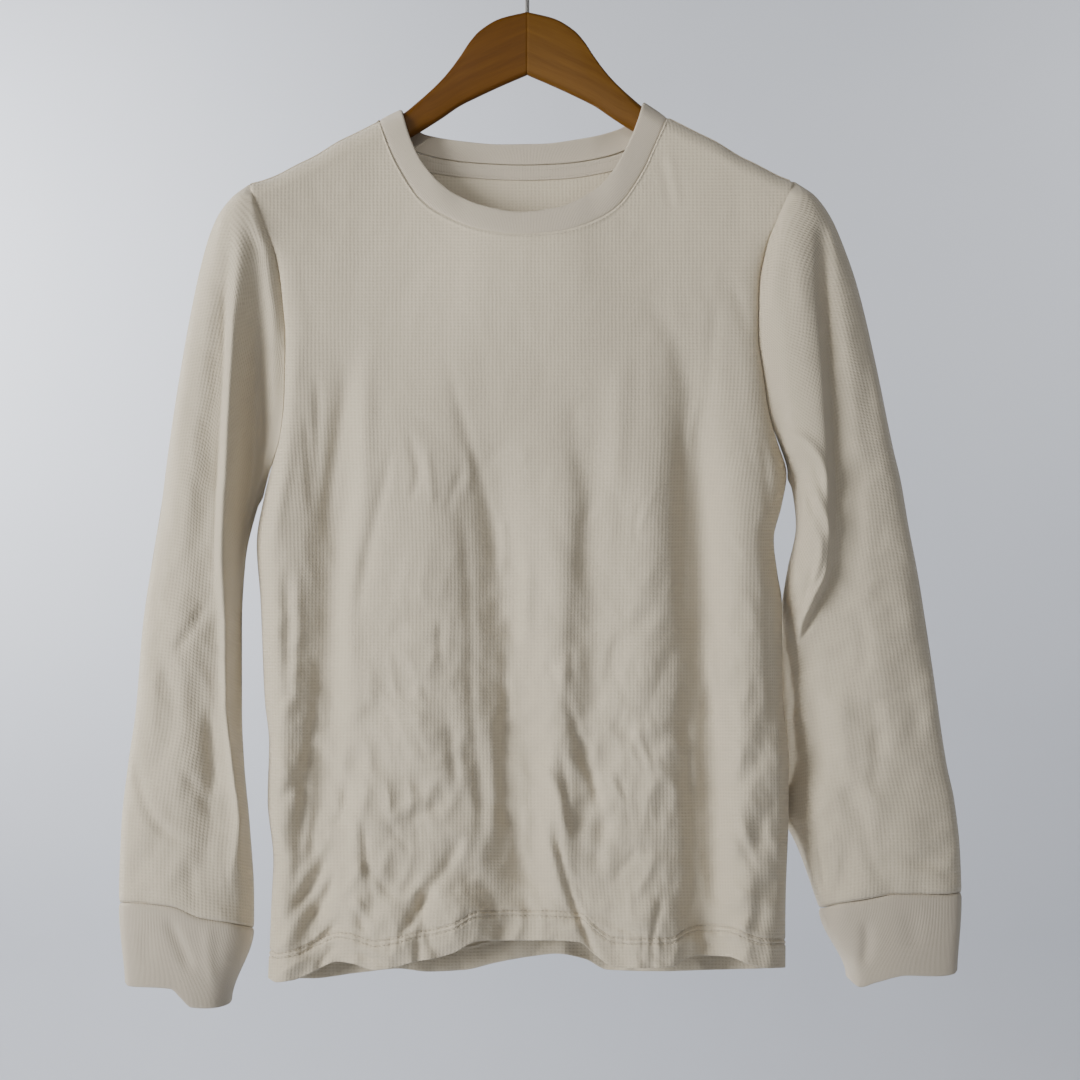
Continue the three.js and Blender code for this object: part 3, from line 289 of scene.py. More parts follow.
frontCreases = drawn([
    # left armpit and the two soft folds under it
    ([(288, 300), (284, 380), (277, 450), (268, 520), (262, 570)], 7.0, 2.4, 0),
    ([(338, 350), (341, 380), (339, 410), (334, 440), (326, 480), (321, 560)], 5.2, -1.7, 0.2),
    ([(311, 360), (315, 400), (313, 440), (312, 520)], 3.8, -1.7, 0),
    ([(303, 405), (306, 450), (309, 520)], 3.0, -1.4, 0.3),
    ([(366, 300), (360, 370), (357, 440), (358, 490), (349, 545), (343, 600), (345, 660), (346, 760)],
     7.5, 3.1, 0.2),
    ([(392, 420), (383, 480), (368, 535), (358, 590), (350, 640)], 4.0, -1.3, 0.3),
    ([(403, 425), (412, 455), (416, 478), (402, 510)], 3.6, -1.2, 0),
    ([(423, 440), (427, 480), (431, 512)], 3.0, 1.0, 0),
    ([(462, 465), (450, 490), (443, 518)], 3.0, -1.1, 0),
    ([(283, 560), (285, 610), (285, 660), (280, 700)], 3.6, -1.8, 0.2),
    ([(293, 550), (296, 620), (292, 680), (290, 720)], 3.0, 1.2, 0),
    # middle
    ([(440, 340), (450, 385), (462, 430), (474, 470), (484, 505), (491, 545), (498, 585), (503, 620)],
     4.8, -1.3, 0.2),
    ([(457, 495), (461, 540), (465, 600), (467, 660), (468, 700)], 4.6, -1.8, 0),
    ([(461, 440), (468, 468), (462, 500)], 3.0, 1.1, 0),
    ([(498, 510), (502, 540), (498, 585)], 3.0, 1.5, 0),
    ([(518, 535), (524, 570), (522, 600), (519, 660)], 4.5, 1.8, 0),
    ([(437, 615), (437, 665)], 2.6, -1.0, 0),
    ([(447, 608), (446, 668)], 3.0, 0.9, 0),
    ([(468, 630), (467, 690), (472, 745), (477, 800), (478, 870)], 4.0, -2.4, 0.2),
    ([(486, 690), (489, 760), (491, 810), (489, 870)], 3.4, 1.6, 0),
    ([(500, 630), (503, 700), (500, 760), (502, 820), (497, 880)], 4.0, -2.2, -0.2),
    ([(516, 740), (520, 790), (525, 850)], 4.0, 1.5, 0),
    ([(446, 730), (449, 765), (459, 795)], 3.4, -1.6, 0),
    ([(456, 728), (460, 765), (458, 800)], 3.0, 1.2, 0),
    ([(590, 485), (581, 520), (577, 555), (580, 600)], 5.4, -1.7, 0.2),
    ([(567, 585), (570, 630), (562, 670)], 5.0, -1.2, 0),
    ([(570, 390), (570, 450), (581, 505)], 6.0, -1.3, 0),
    ([(612, 340), (612, 420), (609, 510)], 8.0, 1.6, 0),
    ([(616, 634), (605, 662)], 2.6, -1.0, 0),
    ([(542, 655), (552, 676), (557, 696)], 2.8, -1.1, 0.2),
    ([(568, 645), (568, 684)], 3.2, -1.4, 0),
    ([(566, 643), (561, 672), (559, 700)], 3.0, 1.2, 0),
    ([(560, 680), (570, 717), (577, 742), (586, 765), (594, 790), (601, 825)], 3.8, -3.0, 0.5),
    ([(516, 758), (536, 763), (550, 777), (558, 797), (563, 825), (567, 855)], 3.8, 2.6, 0.4),
    ([(559, 740), (563, 785), (567, 825), (571, 848)], 2.6, -1.9, 0.2),
    ([(552, 812), (557, 850), (563, 875), (571, 900), (580, 922), (588, 942), (602, 975)], 3.0, -3.6, 0.8),
    ([(543, 825), (551, 865), (560, 892), (572, 925)], 3.5, 1.6, 0),
    ([(560, 858), (573, 884), (588, 908)], 2.6, -1.7, 0.4),
    ([(604, 808), (596, 840), (591, 873)], 4.6, -2.4, 0),
    ([(606, 768), (611, 785), (623, 804)], 3.0, 1.2, 0),
    ([(614, 769), (622, 790), (626, 806)], 2.4, -1.0, 0),
    ([(629, 720), (640, 745), (652, 775)], 2.8, 1.0, 0),
    ([(620, 716), (632, 745), (640, 768)], 3.0, -0.9, 0),
    ([(680, 853), (655, 850), (630, 844)], 3.2, -1.9, 0.2),
    ([(637, 846), (626, 860), (610, 880)], 2.8, -2.0, 0.2),
    ([(664, 856), (636, 863), (616, 884)], 4.0, 1.4, 0),
    ([(574, 922), (600, 915), (613, 924), (626, 931), (644, 935)], 2.6, -1.8, 0.2),
    # lower left, a fan of slanting creases
    ([(268, 708), (278, 697), (294, 689)], 3.0, -1.7, 0.2),
    ([(268, 710), (270, 750), (277, 795)], 6.0, 1.8, 0),
    ([(302, 768), (288, 786), (270, 808)], 4.0, -2.3, 0),
    ([(264, 806), (272, 835), (284, 856)], 5.0, 1.6, 0),
    ([(320, 640), (315, 690), (308, 740), (301, 780), (298, 830), (292, 880), (286, 905)], 4.2, -2.4, 0.2),
    ([(346, 780), (342, 812), (328, 832)], 2.6, -1.6, 0.2),
    ([(319, 795), (310, 830), (307, 862)], 3.4, -1.9, 0),
    ([(336, 820), (320, 848), (304, 872), (286, 900)], 3.2, 1.8, 0),
    ([(328, 852), (311, 884), (297, 902), (281, 918)], 3.0, -2.6, 0.3),
    ([(332, 862), (316, 890), (300, 912), (284, 932), (270, 960)], 3.4, 2.0, 0),
    ([(335, 870), (322, 902), (305, 925), (293, 941)], 3.0, -2.8, 0.3),
    ([(342, 900), (322, 928), (299, 950)], 2.6, 1.6, 0),
    ([(338, 920), (318, 941), (295, 956)], 2.6, -2.0, 0.2),
    ([(336, 940), (322, 958), (309, 978)], 3.0, -2.0, 0),
    ([(352, 770), (351, 830), (352, 890), (348, 960)], 5.0, 2.0, 0.3),
    ([(364, 858), (350, 880), (336, 902)], 3.0, 1.9, 0),
    ([(360, 815), (364, 850), (366, 880), (374, 920)], 3.0, -1.8, 0.2),
    ([(367, 868), (380, 888), (398, 898)], 3.2, -2.0, 0),
    ([(350, 895), (360, 910), (371, 925)], 2.8, 1.6, 0),
    ([(345, 899), (356, 918), (368, 935)], 2.4, -1.4, 0),
    ([(377, 907), (398, 900), (418, 888)], 4.0, 1.6, 0),
    ([(384, 823), (398, 840), (412, 852)], 2.8, -1.4, 0),
    ([(384, 824), (402, 806), (427, 792)], 3.2, 1.8, 0),
    ([(398, 824), (418, 814), (442, 801)], 2.6, -1.8, 0),
    ([(352, 718), (368, 707), (390, 714), (410, 723)], 2.4, -1.1, 0.2),
    ([(406, 765), (425, 759), (443, 755)], 2.0, -0.9, 0),
    ([(402, 748), (435, 745)], 2.0, -0.6, 0),
    ([(312, 735), (325, 726), (342, 722)], 2.6, -1.0, 0),
    ([(346, 952), (366, 956), (388, 964)], 2.4, -1.4, 0),
    # the big slant to the hem and the level creases beside it
    ([(466, 826), (448, 860), (430, 885), (414, 912), (390, 945)], 4.2, -3.2, 0.5),
    ([(428, 890), (412, 915), (394, 942)], 4.0, -2.0, 0.3),
    ([(482, 864), (460, 880), (443, 898)], 3.0, -1.4, 0),
    ([(398, 908), (412, 890), (426, 872)], 3.0, 1.5, 0),
    ([(412, 928), (416, 950), (414, 980)], 3.2, -2.4, 0),
    ([(436, 895), (470, 886), (505, 889), (550, 886)], 2.6, -1.2, 0),
    ([(484, 860), (510, 848), (524, 845)], 2.6, -1.2, 0),
    ([(508, 876), (535, 882), (560, 891)], 3.0, -1.3, 0),
    ([(518, 894), (532, 915)], 4.0, -1.3, 0),
    ([(450, 905), (490, 912), (530, 908)], 5.0, 1.1, 0),
    # right fold, its ridge and the side
    ([(634, 285), (652, 315), (667, 335), (676, 365), (676, 410)], 7.5, -1.1, 0),
    ([(680, 395), (679, 440), (677, 500), (677, 580), (679, 660)], 4.6, -2.6, 0.2),
    ([(698, 390), (688, 425), (685, 460)], 3.4, 1.3, 0),
    ([(712, 290), (708, 345), (705, 385), (699, 420)], 5.0, -0.9, 0),
    ([(727, 280), (738, 305), (743, 338)], 5.0, -0.9, 0.2),
    ([(679, 650), (681, 700), (684, 760), (687, 820), (688, 880), (682, 935), (676, 990)], 5.0, -4.2, 0.2),
    ([(664, 880), (655, 915), (649, 945), (652, 985)], 3.0, -2.0, 0.2),
    ([(694, 870), (696, 920), (702, 975)], 4.6, -2.2, 0),
    ([(697, 890), (715, 897), (724, 908), (735, 915), (756, 913)], 3.2, -1.9, 0.2),
    ([(698, 922), (716, 930), (732, 950)], 3.6, -1.4, 0),
    ([(719, 878), (738, 890), (754, 902)], 4.0, 1.4, 0),
    ([(725, 922), (745, 932), (765, 930)], 5.0, 1.3, 0),
    ([(706, 628), (710, 670), (714, 705), (719, 738)], 3.2, 1.7, 0),
    ([(721, 685), (727, 712), (736, 742)], 3.0, -1.4, 0),
    ([(726, 812), (735, 835), (742, 848), (752, 865), (760, 882)], 2.8, -1.4, 0.2),
    ([(737, 843), (775, 842)], 3.0, -1.0, 0),
    ([(738, 815), (743, 835), (752, 848)], 3.0, 1.1, 0),
    ([(720, 540), (732, 552), (742, 556)], 3.0, -0.8, 0),
    ([(640, 500), (632, 520), (634, 545)], 3.0, -0.7, 0),
    ([(758, 430), (763, 460), (765, 490), (767, 525)], 3.2, -1.6, 0),
    ([(769, 520), (766, 570), (764, 620), (767, 690), (772, 745)], 2.8, -1.6, 0),
    ([(774, 590), (775, 680), (777, 760), (777, 860), (776, 985)], 2.4, 1.7, 0),
    ([(263, 620), (264, 700), (269, 760), (268, 820), (271, 900), (272, 985)], 1.8, -1.0, 0),
    ([(665, 145), (672, 180), (677, 214)], 3.0, 0.55, 0.2),
    ([(655, 150), (663, 182), (668, 210)], 3.4, -0.45, 0),
])
frontCreases += smallCreases(11, 60, -165, 165, -360, -560, 0.45)
frontCreases += smallCreases(14, 90, -165, 165, -540, -725, 0.6)
backCreases = drawn([
    ([(330, 360), (322, 520), (318, 700), (300, 860)], 5.0, -2.8, 0.4),
    ([(352, 380), (346, 520), (348, 680), (340, 860)], 6.5, 2.6, 0.2),
    ([(400, 300), (412, 460), (405, 620)], 6.0, -2.2, 0.2),
    ([(470, 420), (466, 600), (474, 820)], 5.0, 2.4, -0.3),
    ([(486, 520), (480, 640), (488, 800)], 4.4, -2.2, 0.2),
    ([(560, 400), (572, 560), (566, 760), (580, 900)], 5.0, -3.0, 0.5),
    ([(592, 480), (598, 620), (592, 780)], 5.5, 2.2, 0),
    ([(640, 340), (652, 520), (660, 720)], 6.0, -2.4, -0.2),
    ([(720, 380), (712, 560), (722, 760), (716, 900)], 5.0, -3.2, 0.4),
    ([(744, 420), (740, 560), (748, 740)], 4.6, 1.8, 0),
    ([(300, 800), (340, 850), (360, 910)], 3.4, -2.4, 0.5),
    ([(352, 780), (330, 850), (300, 920)], 3.4, 2.0, 0.3),
    ([(480, 800), (450, 860), (430, 930)], 3.4, -2.6, 0.5),
    ([(440, 700), (420, 760), (392, 820)], 3.2, -1.8, 0.3),
    ([(520, 780), (528, 850), (548, 930)], 3.4, 2.0, 0.3),
    ([(640, 830), (670, 880), (680, 940)], 3.2, -2.4, -0.5),
    ([(612, 800), (600, 870), (606, 950)], 3.0, -1.8, 0.3),
    ([(700, 780), (690, 850), (668, 910)], 3.2, -2.0, 0.3),
    ([(360, 640), (420, 650), (470, 640)], 3.0, -1.2, 0.3),
    ([(600, 700), (660, 712), (700, 700)], 3.0, -1.2, 0.3),
    ([(380, 560), (430, 590), (455, 640)], 3.6, -1.6, 0.3),
    ([(680, 600), (640, 650), (620, 700)], 3.4, -1.6, 0.3),
]) + smallCreases(12, 80, -165, 165, -330, -720, 0.6)


def gridNormals(grid, around, turn):
    # the way across the grid times the way down it
    across = np.roll(grid, -1, 1) - np.roll(grid, 1, 1) if around else np.gradient(grid, axis=1)
    return unit(np.cross(across, np.gradient(grid, axis=0))) * turn


def runOf(grid, axis):  # distance along the lines of a grid
    steps = np.linalg.norm(np.diff(grid, axis=axis), axis=2)
    pad = [(0, 0), (0, 0)]
    pad[axis] = (1, 0)
    return np.cumsum(np.pad(steps, pad), axis=axis)


def closed(grid):  # the first column again after the last
    return np.concatenate((grid, grid[:, :1]), 1)


def cells(grid):  # the four corners of each cell
    corners = np.stack([grid[:-1, :-1], grid[1:, :-1], grid[1:, 1:], grid[:-1, 1:]], 2)
    return corners.reshape(-1, 4, *grid.shape[2:])


def tubeFaces(rings, count, flip):
    # the faces around a stack of rings, and its two flat ends
    ids = np.arange(rings * count).reshape(rings, count)
    around, first, last = cells(closed(ids)), ids[0], ids[-1]
    if flip:
        return around[:, [0, 3, 2, 1]], np.array([first[::-1], last])
    return around, np.array([first, last[::-1]])


def carryOn(parts, axis, firstReach, lastReach):
    # carries the middle surface past both edges by the sine of 45 and 90 degrees, and closes in by the cosine
    mid, normals, half, share, uv = (np.moveaxis(p, axis, 0) for p in parts)
    first = unit(mid[0] - mid[1]) * firstReach
    last = unit(mid[-1] - mid[-2]) * lastReach
    c = math.cos(math.pi / 4)
    parts = (
        np.concatenate(([mid[0] + first, mid[0] + first * c], mid, [mid[-1] + last * c, mid[-1] + last])),
        np.concatenate((normals[[0, 0]], normals, normals[[-1, -1]])),
        np.concatenate((half[[0, 0]], half, half[[-1, -1]])),
        np.concatenate((share[[0, 0]] * [[0], [c]], share, share[[-1, -1]] * [[c], [0]])),
        np.concatenate((uv[[0, 0]], uv, uv[[-1, -1]])),
    )
    return [np.moveaxis(p, 0, axis) for p in parts]


def shell(outer, normals, half, uv, around=False, rims=(0.1, 0.1, 0.1, 0.1)):
    # two faces, a thickness apart along the normals, that meet in rims: top, foot, left and right.
    # uv has one more column than the grid where it goes around.
    half = half + np.zeros(outer.shape[:2])
    mid = outer - normals * half[..., None]
    seamUv = uv[:, -1:] if around else None
    parts = carryOn([mid, normals, half, np.ones(half.shape), uv[:, :mid.shape[1]]], 0, *rims[:2])
    if around:
        seamUv = np.concatenate((seamUv[[0, 0]], seamUv, seamUv[[-1, -1]]))
    else:
        parts = carryOn(parts, 1, *rims[2:])
    mid, normals, half, share, uv = parts
    offset = normals * (half * share)[..., None]
    ids = np.arange(share.size).reshape(share.shape)
    lower = ids + share.size
    lower[[0, -1]] = ids[[0, -1]]
    if around:
        ids, lower, uv = closed(ids), closed(lower), np.concatenate((uv, seamUv), 1)
    else:
        lower[:, [0, -1]] = ids[:, [0, -1]]
    points = np.concatenate(((mid + offset).reshape(-1, 3), (mid - offset).reshape(-1, 3)))
    upper, under, upperUv, underUv = cells(ids), cells(lower), cells(uv), cells(uv)
    a, b, d = (points[upper[:, i]] for i in (0, 1, 3))
    if np.sum(np.cross(b - a, d - a) * normals.reshape(-1, 3)[upper[:, 0]]) > 0:  # faces outwards already
        under, underUv = under[:, ::-1], underUv[:, ::-1]
    else:
        upper, upperUv = upper[:, ::-1], upperUv[:, ::-1]
    faces = np.concatenate((upper, under))
    used, compact = np.unique(faces, return_inverse=True)
    return points[used], compact.reshape(faces.shape), np.concatenate((upperUv, underUv))


def makeMesh(name, points, faces, finish, uv=None, flatEnds=0):
    # millimetres to metres; the last faces may be flat ends
    mesh = bpy.data.meshes.new(name)
    mesh.from_pydata((points * 0.001).tolist(), [], faces)
    mesh.polygons.foreach_set("use_smooth", np.arange(len(faces)) < len(faces) - flatEnds)
    if uv is not None:
        mesh.uv_layers.new(name="cut").data.foreach_set("uv", (uv * 0.001).astype(np.float32).ravel())
    mesh.materials.append(finish)
    mesh.update()
    made = bpy.data.objects.new(name, mesh)
    bpy.context.scene.collection.objects.link(made)
    return made


def makePiece(name, points, faces, finish, slotName, *nodes, **more):
    piece = makeMesh(name, points, faces, finish, **more)
    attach(piece, "root")
    if nodes:
        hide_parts(*nodes)
    return piece


def makeCloth(name, node, finish, slotName, sheet):
    points, faces, uv = sheet
    return makePiece(name, points, faces.tolist(), finish, slotName, node, uv=uv)


def placesAlong(path, run, at):  # the places at some distances along a path
    return np.stack([np.interp(at, run, path[:, i]) for i in range(3)], 1)


def stitches(name, rows, pitch, length, thick, lift):
    # each stitch is a small six-sided spindle laid along the row; rows are (points, normals)
    turn = np.linspace(0, 2 * np.pi, 7)[:-1]
    spindle = np.array([(-0.5, 0.3), (-0.3, 0.9), (0, 1), (0.3, 0.9), (0.5, 0.3)])  # along and radius
    out = spindle[:, 1:] * thick / 2
    local = np.stack([spindle[:, :1] * length + 0 * turn, out * np.cos(turn), out * np.sin(turn)], 2)
    local = local.reshape(-1, 3)
    made = []
    for path, normals in rows:
        run = np.concatenate(([0], np.cumsum(np.linalg.norm(np.diff(path, axis=0), axis=1))))
        at = np.arange(pitch / 2, run[-1], pitch)
        ahead = unit(placesAlong(path, run, at + 0.4) - placesAlong(path, run, at - 0.4))
        side = unit(np.cross(unit(placesAlong(normals, run, at)), ahead))
        up = np.cross(ahead, side)
        centre = placesAlong(path, run, at) + up * lift
        ways = enumerate((ahead, side, up))
        made.append(centre[:, None] + sum(local[:, i, None] * way[:, None] for i, way in ways))
    made = np.concatenate(made)
    around, ends = tubeFaces(len(spindle), len(turn), True)
    starts = np.arange(len(made))[:, None, None] * len(local)
    faces = (starts + around).reshape(-1, 4).tolist() + (starts + ends).reshape(-1, len(turn)).tolist()
    return makePiece(name, made.reshape(-1, 3), faces, threadFinish, "plain_knit")


class Tap:
    # a socket that takes part in sums: each operator adds its Math node
    def __init__(self, finish, socket):
        self.finish, self.socket = finish, socket

    def maths(self, operation, *others):  # itself first, then the others
        return self.finish.node("ShaderNodeMath", {"operation": operation}, dict(enumerate((self, *others))))

    def __add__(self, other):
        return self.maths("ADD", other)

    def __mul__(self, other):
        return self.maths("MULTIPLY", other)

    def __rsub__(self, other):
        return self * -1 + other

    __radd__, __rmul__ = __add__, __mul__


class Finish:
    # a material and its nodes
    def __init__(self, name):
        self.material = bpy.data.materials.new(name)
        self.material.use_nodes = True
        self.tree = self.material.node_tree
        self.shader = self.tree.nodes["Principled BSDF"]

    def node(self, kind, settings=None, sockets=None, output=0):
        made = self.tree.nodes.new(kind)
        for key, value in (settings or {}).items():
            if key == "stops":
                for spot, (position, colour) in zip(self.spots(made, len(value)), value):
                    spot.position, spot.color = position, (*colour, 1)
            else:
                setattr(made, key, value)
        for key, value in (sockets or {}).items():
            self.feed(made.inputs[key], value)
        return Tap(self, made.outputs[output])

    def spots(self, ramp, count):
        while len(ramp.color_ramp.elements) < count:
            ramp.color_ramp.elements.new(0.5)
        return ramp.color_ramp.elements

    def feed(self, socket, value):
        if isinstance(value, Tap):
            self.tree.links.new(value.socket, socket)
        else:
            socket.default_value = value

    def blend(self, a, b, factor):  # colours
        a, b = ((*c, 1) if isinstance(c, tuple) else c for c in (a, b))
        return self.node("ShaderNodeMix", {"data_type": "RGBA"}, {0: factor, 6: a, 7: b}, 2)

    def cut(self):  # the piece's own flat-cut coordinates, in metres
        uv = self.node("ShaderNodeUVMap", {"uv_map": "cut"})
        return uv, *(self.node("ShaderNodeSeparateXYZ", None, {0: uv}, i) for i in (0, 1))

    def inPlace(self):  # Object coordinates
        return self.node("ShaderNodeTexCoord", output=3)

    def noise(self, vector, scale, detail=2.0, rough=0.5):
        return self.node("ShaderNodeTexNoise", None,
                         {"Vector": vector, "Scale": scale, "Detail": detail, "Roughness": rough})

    def shade(self, **sockets):
        for key, value in sockets.items():
            self.feed(self.shader.inputs[key.replace("_", " ")], value)
        return self.material

    def bump(self, height, distance):
        return self.node("ShaderNodeBump", None, {"Strength": 1.0, "Distance": distance, "Height": height})


# the pit colour is a darker yarn colour painted into the knit's pits: painted shade in the hollows
waffle = {
    "rib": 0.0027, "bar": 0.0023, "relief": 0.00026, "drift": 55.0, "patch": 34.0, "fuzz": 2400.0,
    "broad": 9.0, "yarn": (0.685, 0.61, 0.475), "pitShade": (0.52, 0.45, 0.325), "warm": (0.625, 0.545, 0.405),
    "roughness": 0.92, "sheen": 0.25,
}


def waffleKnit(name):
    # ribs down the cloth and bars across it, as cosines of the cut's coordinates, round small pits; a slow
    # noise bends both and lets them fade here and there
    made = Finish(name)
    uv, across, down = made.cut()
    drift = made.noise(uv, waffle["drift"], 3.0)
    patch = made.noise(uv, waffle["patch"], 3.0, 0.7)
    rib = (across * (2 * math.pi / waffle["rib"]) + drift * 3.0).maths("COSINE")
    bar = (down * (2 * math.pi / waffle["bar"]) + drift * 4.0).maths("COSINE")
    low = (1 - (rib * 0.5 + 0.5) * (patch * 0.7 + 0.35)) * (1 - (bar * 0.5 + 0.5) * 0.8)
    fuzz = made.noise(uv, waffle["fuzz"], 3.0, 0.7)
    broad = made.noise(uv, waffle["broad"], 3.0, 0.6)
    # painted shade: the colour darkens towards the pit colour where the knit sinks into its pits
    colour = made.blend(waffle["yarn"], waffle["pitShade"], low * 0.42 + fuzz * 0.2)
    colour = made.blend(colour, waffle["warm"], broad * 0.35)
    return made.shade(Base_Color=colour, Roughness=waffle["roughness"], Sheen_Weight=waffle["sheen"],
                      Sheen_Roughness=0.6, Specular_IOR_Level=0.15,
                      Normal=made.bump((1 - low) + fuzz * 0.5, waffle["relief"]))


plain = {
    "wale": 0.0011, "stitch": 0.0005, "relief": 0.00018, "fuzz": 2200.0, "broad": 25.0,
    "yarn": (0.64, 0.57, 0.46), "gap": (0.55, 0.48, 0.37), "warm": (0.58, 0.51, 0.40),
    "roughness": 0.88, "sheen": 0.2,
}


def plainKnit(name):
    # fine wales: a cosine across the cut whose stitches lean to either side
    made = Finish(name)
    uv, across, down = made.cut()
    lean = down.maths("PINGPONG", plain["stitch"])
    wale = ((across + lean * 0.6) * (2 * math.pi / plain["wale"])).maths("COSINE")
    fuzz = made.noise(uv, plain["fuzz"], 3.0, 0.7)
    broad = made.noise(uv, plain["broad"], 2.0, 0.6)
    colour = made.blend(plain["yarn"], plain["gap"], (wale * 0.5 + 0.5) * 0.25 + fuzz * 0.3)
    colour = made.blend(colour, plain["warm"], broad * 0.35)
    return made.shade(Base_Color=colour, Roughness=plain["roughness"], Sheen_Weight=plain["sheen"],
                      Sheen_Roughness=0.6, Specular_IOR_Level=0.15,
                      Normal=made.bump(wale * 0.5 + fuzz * 0.6, plain["relief"]))


wood = {
    "streak": (7.0, 120.0), "pore": (60.0, 1400.0), "stops": (0.3, 0.72), "relief": 0.00006,
    # the left arm's tones are darker than the right's: painted shade for the arm that turns from the light, on
    # the same stained wood
    "left": ((0.088, 0.032, 0.0022), (0.148, 0.060, 0.0050)),
    "right": ((0.105, 0.042, 0.0035), (0.185, 0.084, 0.0110)),
}


def stainedWood(name, tones):
    # long streaks along the arm with fine pores in them
    made = Finish(name)
    _, along, around = made.cut()

    def grain(stretch, detail):
        stretched = made.node("ShaderNodeCombineXYZ", None, {0: along * stretch[0], 1: around * stretch[1]})
        return made.noise(stretched, 1.0, detail, 0.6)
    streak, pore = grain(wood["streak"], 4.0), grain(wood["pore"], 2.0)
    tone = made.node("ShaderNodeValToRGB", {"stops": list(zip(wood["stops"], tones))},
                     {0: streak * 0.75 + pore * 0.25})
    return made.shade(Base_Color=tone, Roughness=pore * 0.15 + 0.36, Specular_IOR_Level=0.15,
                      Coat_Weight=0.03, Coat_Roughness=0.35,
                      Normal=made.bump(streak * 0.4 + pore, wood["relief"]))


steel = {"dark": (0.20, 0.20, 0.20), "light": (0.30, 0.29, 0.28), "mark": 900.0, "relief": 0.00002}
thread = {"light": (0.62, 0.56, 0.45), "dark": (0.50, 0.44, 0.34), "fuzz": 1500.0}


def dullSteel(name):
    made = Finish(name)
    mark = made.noise(made.inPlace(), steel["mark"], 3.0)
    return made.shade(Base_Color=made.blend(steel["dark"], steel["light"], mark), Metallic=1.0,
                      Roughness=mark * 0.25 + 0.28, Normal=made.bump(mark, steel["relief"]))


def creamThread(name):
    made = Finish(name)
    colour = made.blend(thread["light"], thread["dark"], made.noise(made.inPlace(), thread["fuzz"]))
    return made.shade(Base_Color=colour, Roughness=0.75, Sheen_Weight=0.15)


waffleFinish, plainFinish = waffleKnit("waffle_knit"), plainKnit("plain_knit")
# one wood in two tones: the left arm's darker tones are painted shade, the right arm's are the lit ones
shadedLeftWood = stainedWood("wood_painted_shade_left", wood["left"])
litRightWood = stainedWood("wood_lit_right", wood["right"])
steelFinish, threadFinish = dullSteel("hook_steel"), creamThread("cream_thread")


panelGrid = {
    "shoulderSteps": 44, "frontNeckSteps": 136, "backNeckSteps": 110, "armholeRows": 80, "lowerRows": 88,
    "hemRows": 34, "hemPart": 26 / 340, "edgeLines": (0.5, 1.1, 1.8, 2.8, 4.2), "seam": 0.15, "rim": 0.1,
    "tuck": 0.3, "tuckWidth": 0.9, "topThin": 0.2, "topFade": 3.5,
}
hem = {
    "height": 17.5, "rise": 0.35, "turn": 1.5, "rows": (15.6, 18.9), "groove": 0.85, "grooveWidth": 0.85,
    "pucker": 0.3, "puckerPitch": 7.1, "puckerDrift": 23, "puckerAt": 17, "puckerWidth": 6,
    "stitch": {"pitch": 3.2, "length": 2.6, "thick": 0.75, "lift": 0.3},
}
neckRidge = {
    "height": 0.45, "at": 2.5, "width": 1.1, "beat": 0.45, "pitch": 3.3, "row": 2.2,
    "stitch": {"pitch": 2.9, "length": 2.1, "thick": 0.45, "lift": 0.1},
}


def panelDepth(x, z, facing, creases=()):
    # how far the panel stands off the plane of the side seams, from the shoulder's round to the hanging cloth
    right = x >= 0
    sign = np.where(right, 1, -1)
    below = np.maximum(shoulderAt(x) - z - body["slack"], 0)
    inside = np.maximum((np.where(right, rightEdgeAt(z), leftEdgeAt(z)) - x) * sign, 0)
    settled = ease(below / body["settle"])
    seamY = mix(armDepth(x), body["sideY"], settled)
    folds, full = (frontFolds, body["frontDepth"]) if facing < 0 else (backFolds, body["backDepth"])
    if facing > 0:
        full = full * (1 - body["hemIn"] * ease((body["hemInTop"] - z) / body["hemInRise"]))
    depth = mix(body["overArm"], full, settled) + foldDepth(folds, x, z)
    lowered = ease((below - body["openTop"]) / body["openRise"])
    armpit = np.where(right, body["rightArmpit"], body["leftArmpit"])
    opened = mix(1, body["open"], lowered) * ease((z - armpit) / body["openRise"])
    closing = opened + (1 - opened) * quarterRound(inside / body["sideRoll"])
    y = seamY + facing * depth * quarterRound(below / body["shoulderRoll"]) * closing
    if creases:
        lower = ease((below - body["creaseTop"]) / body["creaseRise"])
        fade = quarterRound(inside / body["creaseIn"]) * lower
        worn = mix(*body["worn"], ease((body["wornTop"] - z) / body["wornRise"]))
        y = y + facing * (creaseHeight(creases, x, z) + crumple(body["seed"] + facing, x, z) * worn) * fade
    return y


def neckLine(rows, steps):
    # points along a neck line, spaced by its length and closer together at both ends
    at = curve(rows)
    x = np.linspace(rows[0][0], rows[-1][0], 800)
    run = np.concatenate(([0], np.cumsum(np.hypot(np.diff(x), np.diff(at(x))))))
    q = np.linspace(0, 1, steps + 1)
    px = np.interp(run[-1] * mix((1 - np.cos(np.pi * q)) / 2, q, 0.75), run, x)
    return np.stack([px, at(px)], 1)


def neckStations(seam, edge, steps):
    seam, edge = neckLine(seam, steps), neckLine(edge, steps)
    half = (edge - seam) * (neck["gap"] / 2 / np.linalg.norm(edge - seam, axis=1))[:, None]
    return edge, seam + half, seam - half  # the band's free edge, its seam edge and the panel's


frontNeck = neckStations(neck["frontSeam"], neck["frontEdge"], panelGrid["frontNeckSteps"])
backNeck = neckStations(neck["backSeam"], neck["backEdge"], panelGrid["backNeckSteps"])


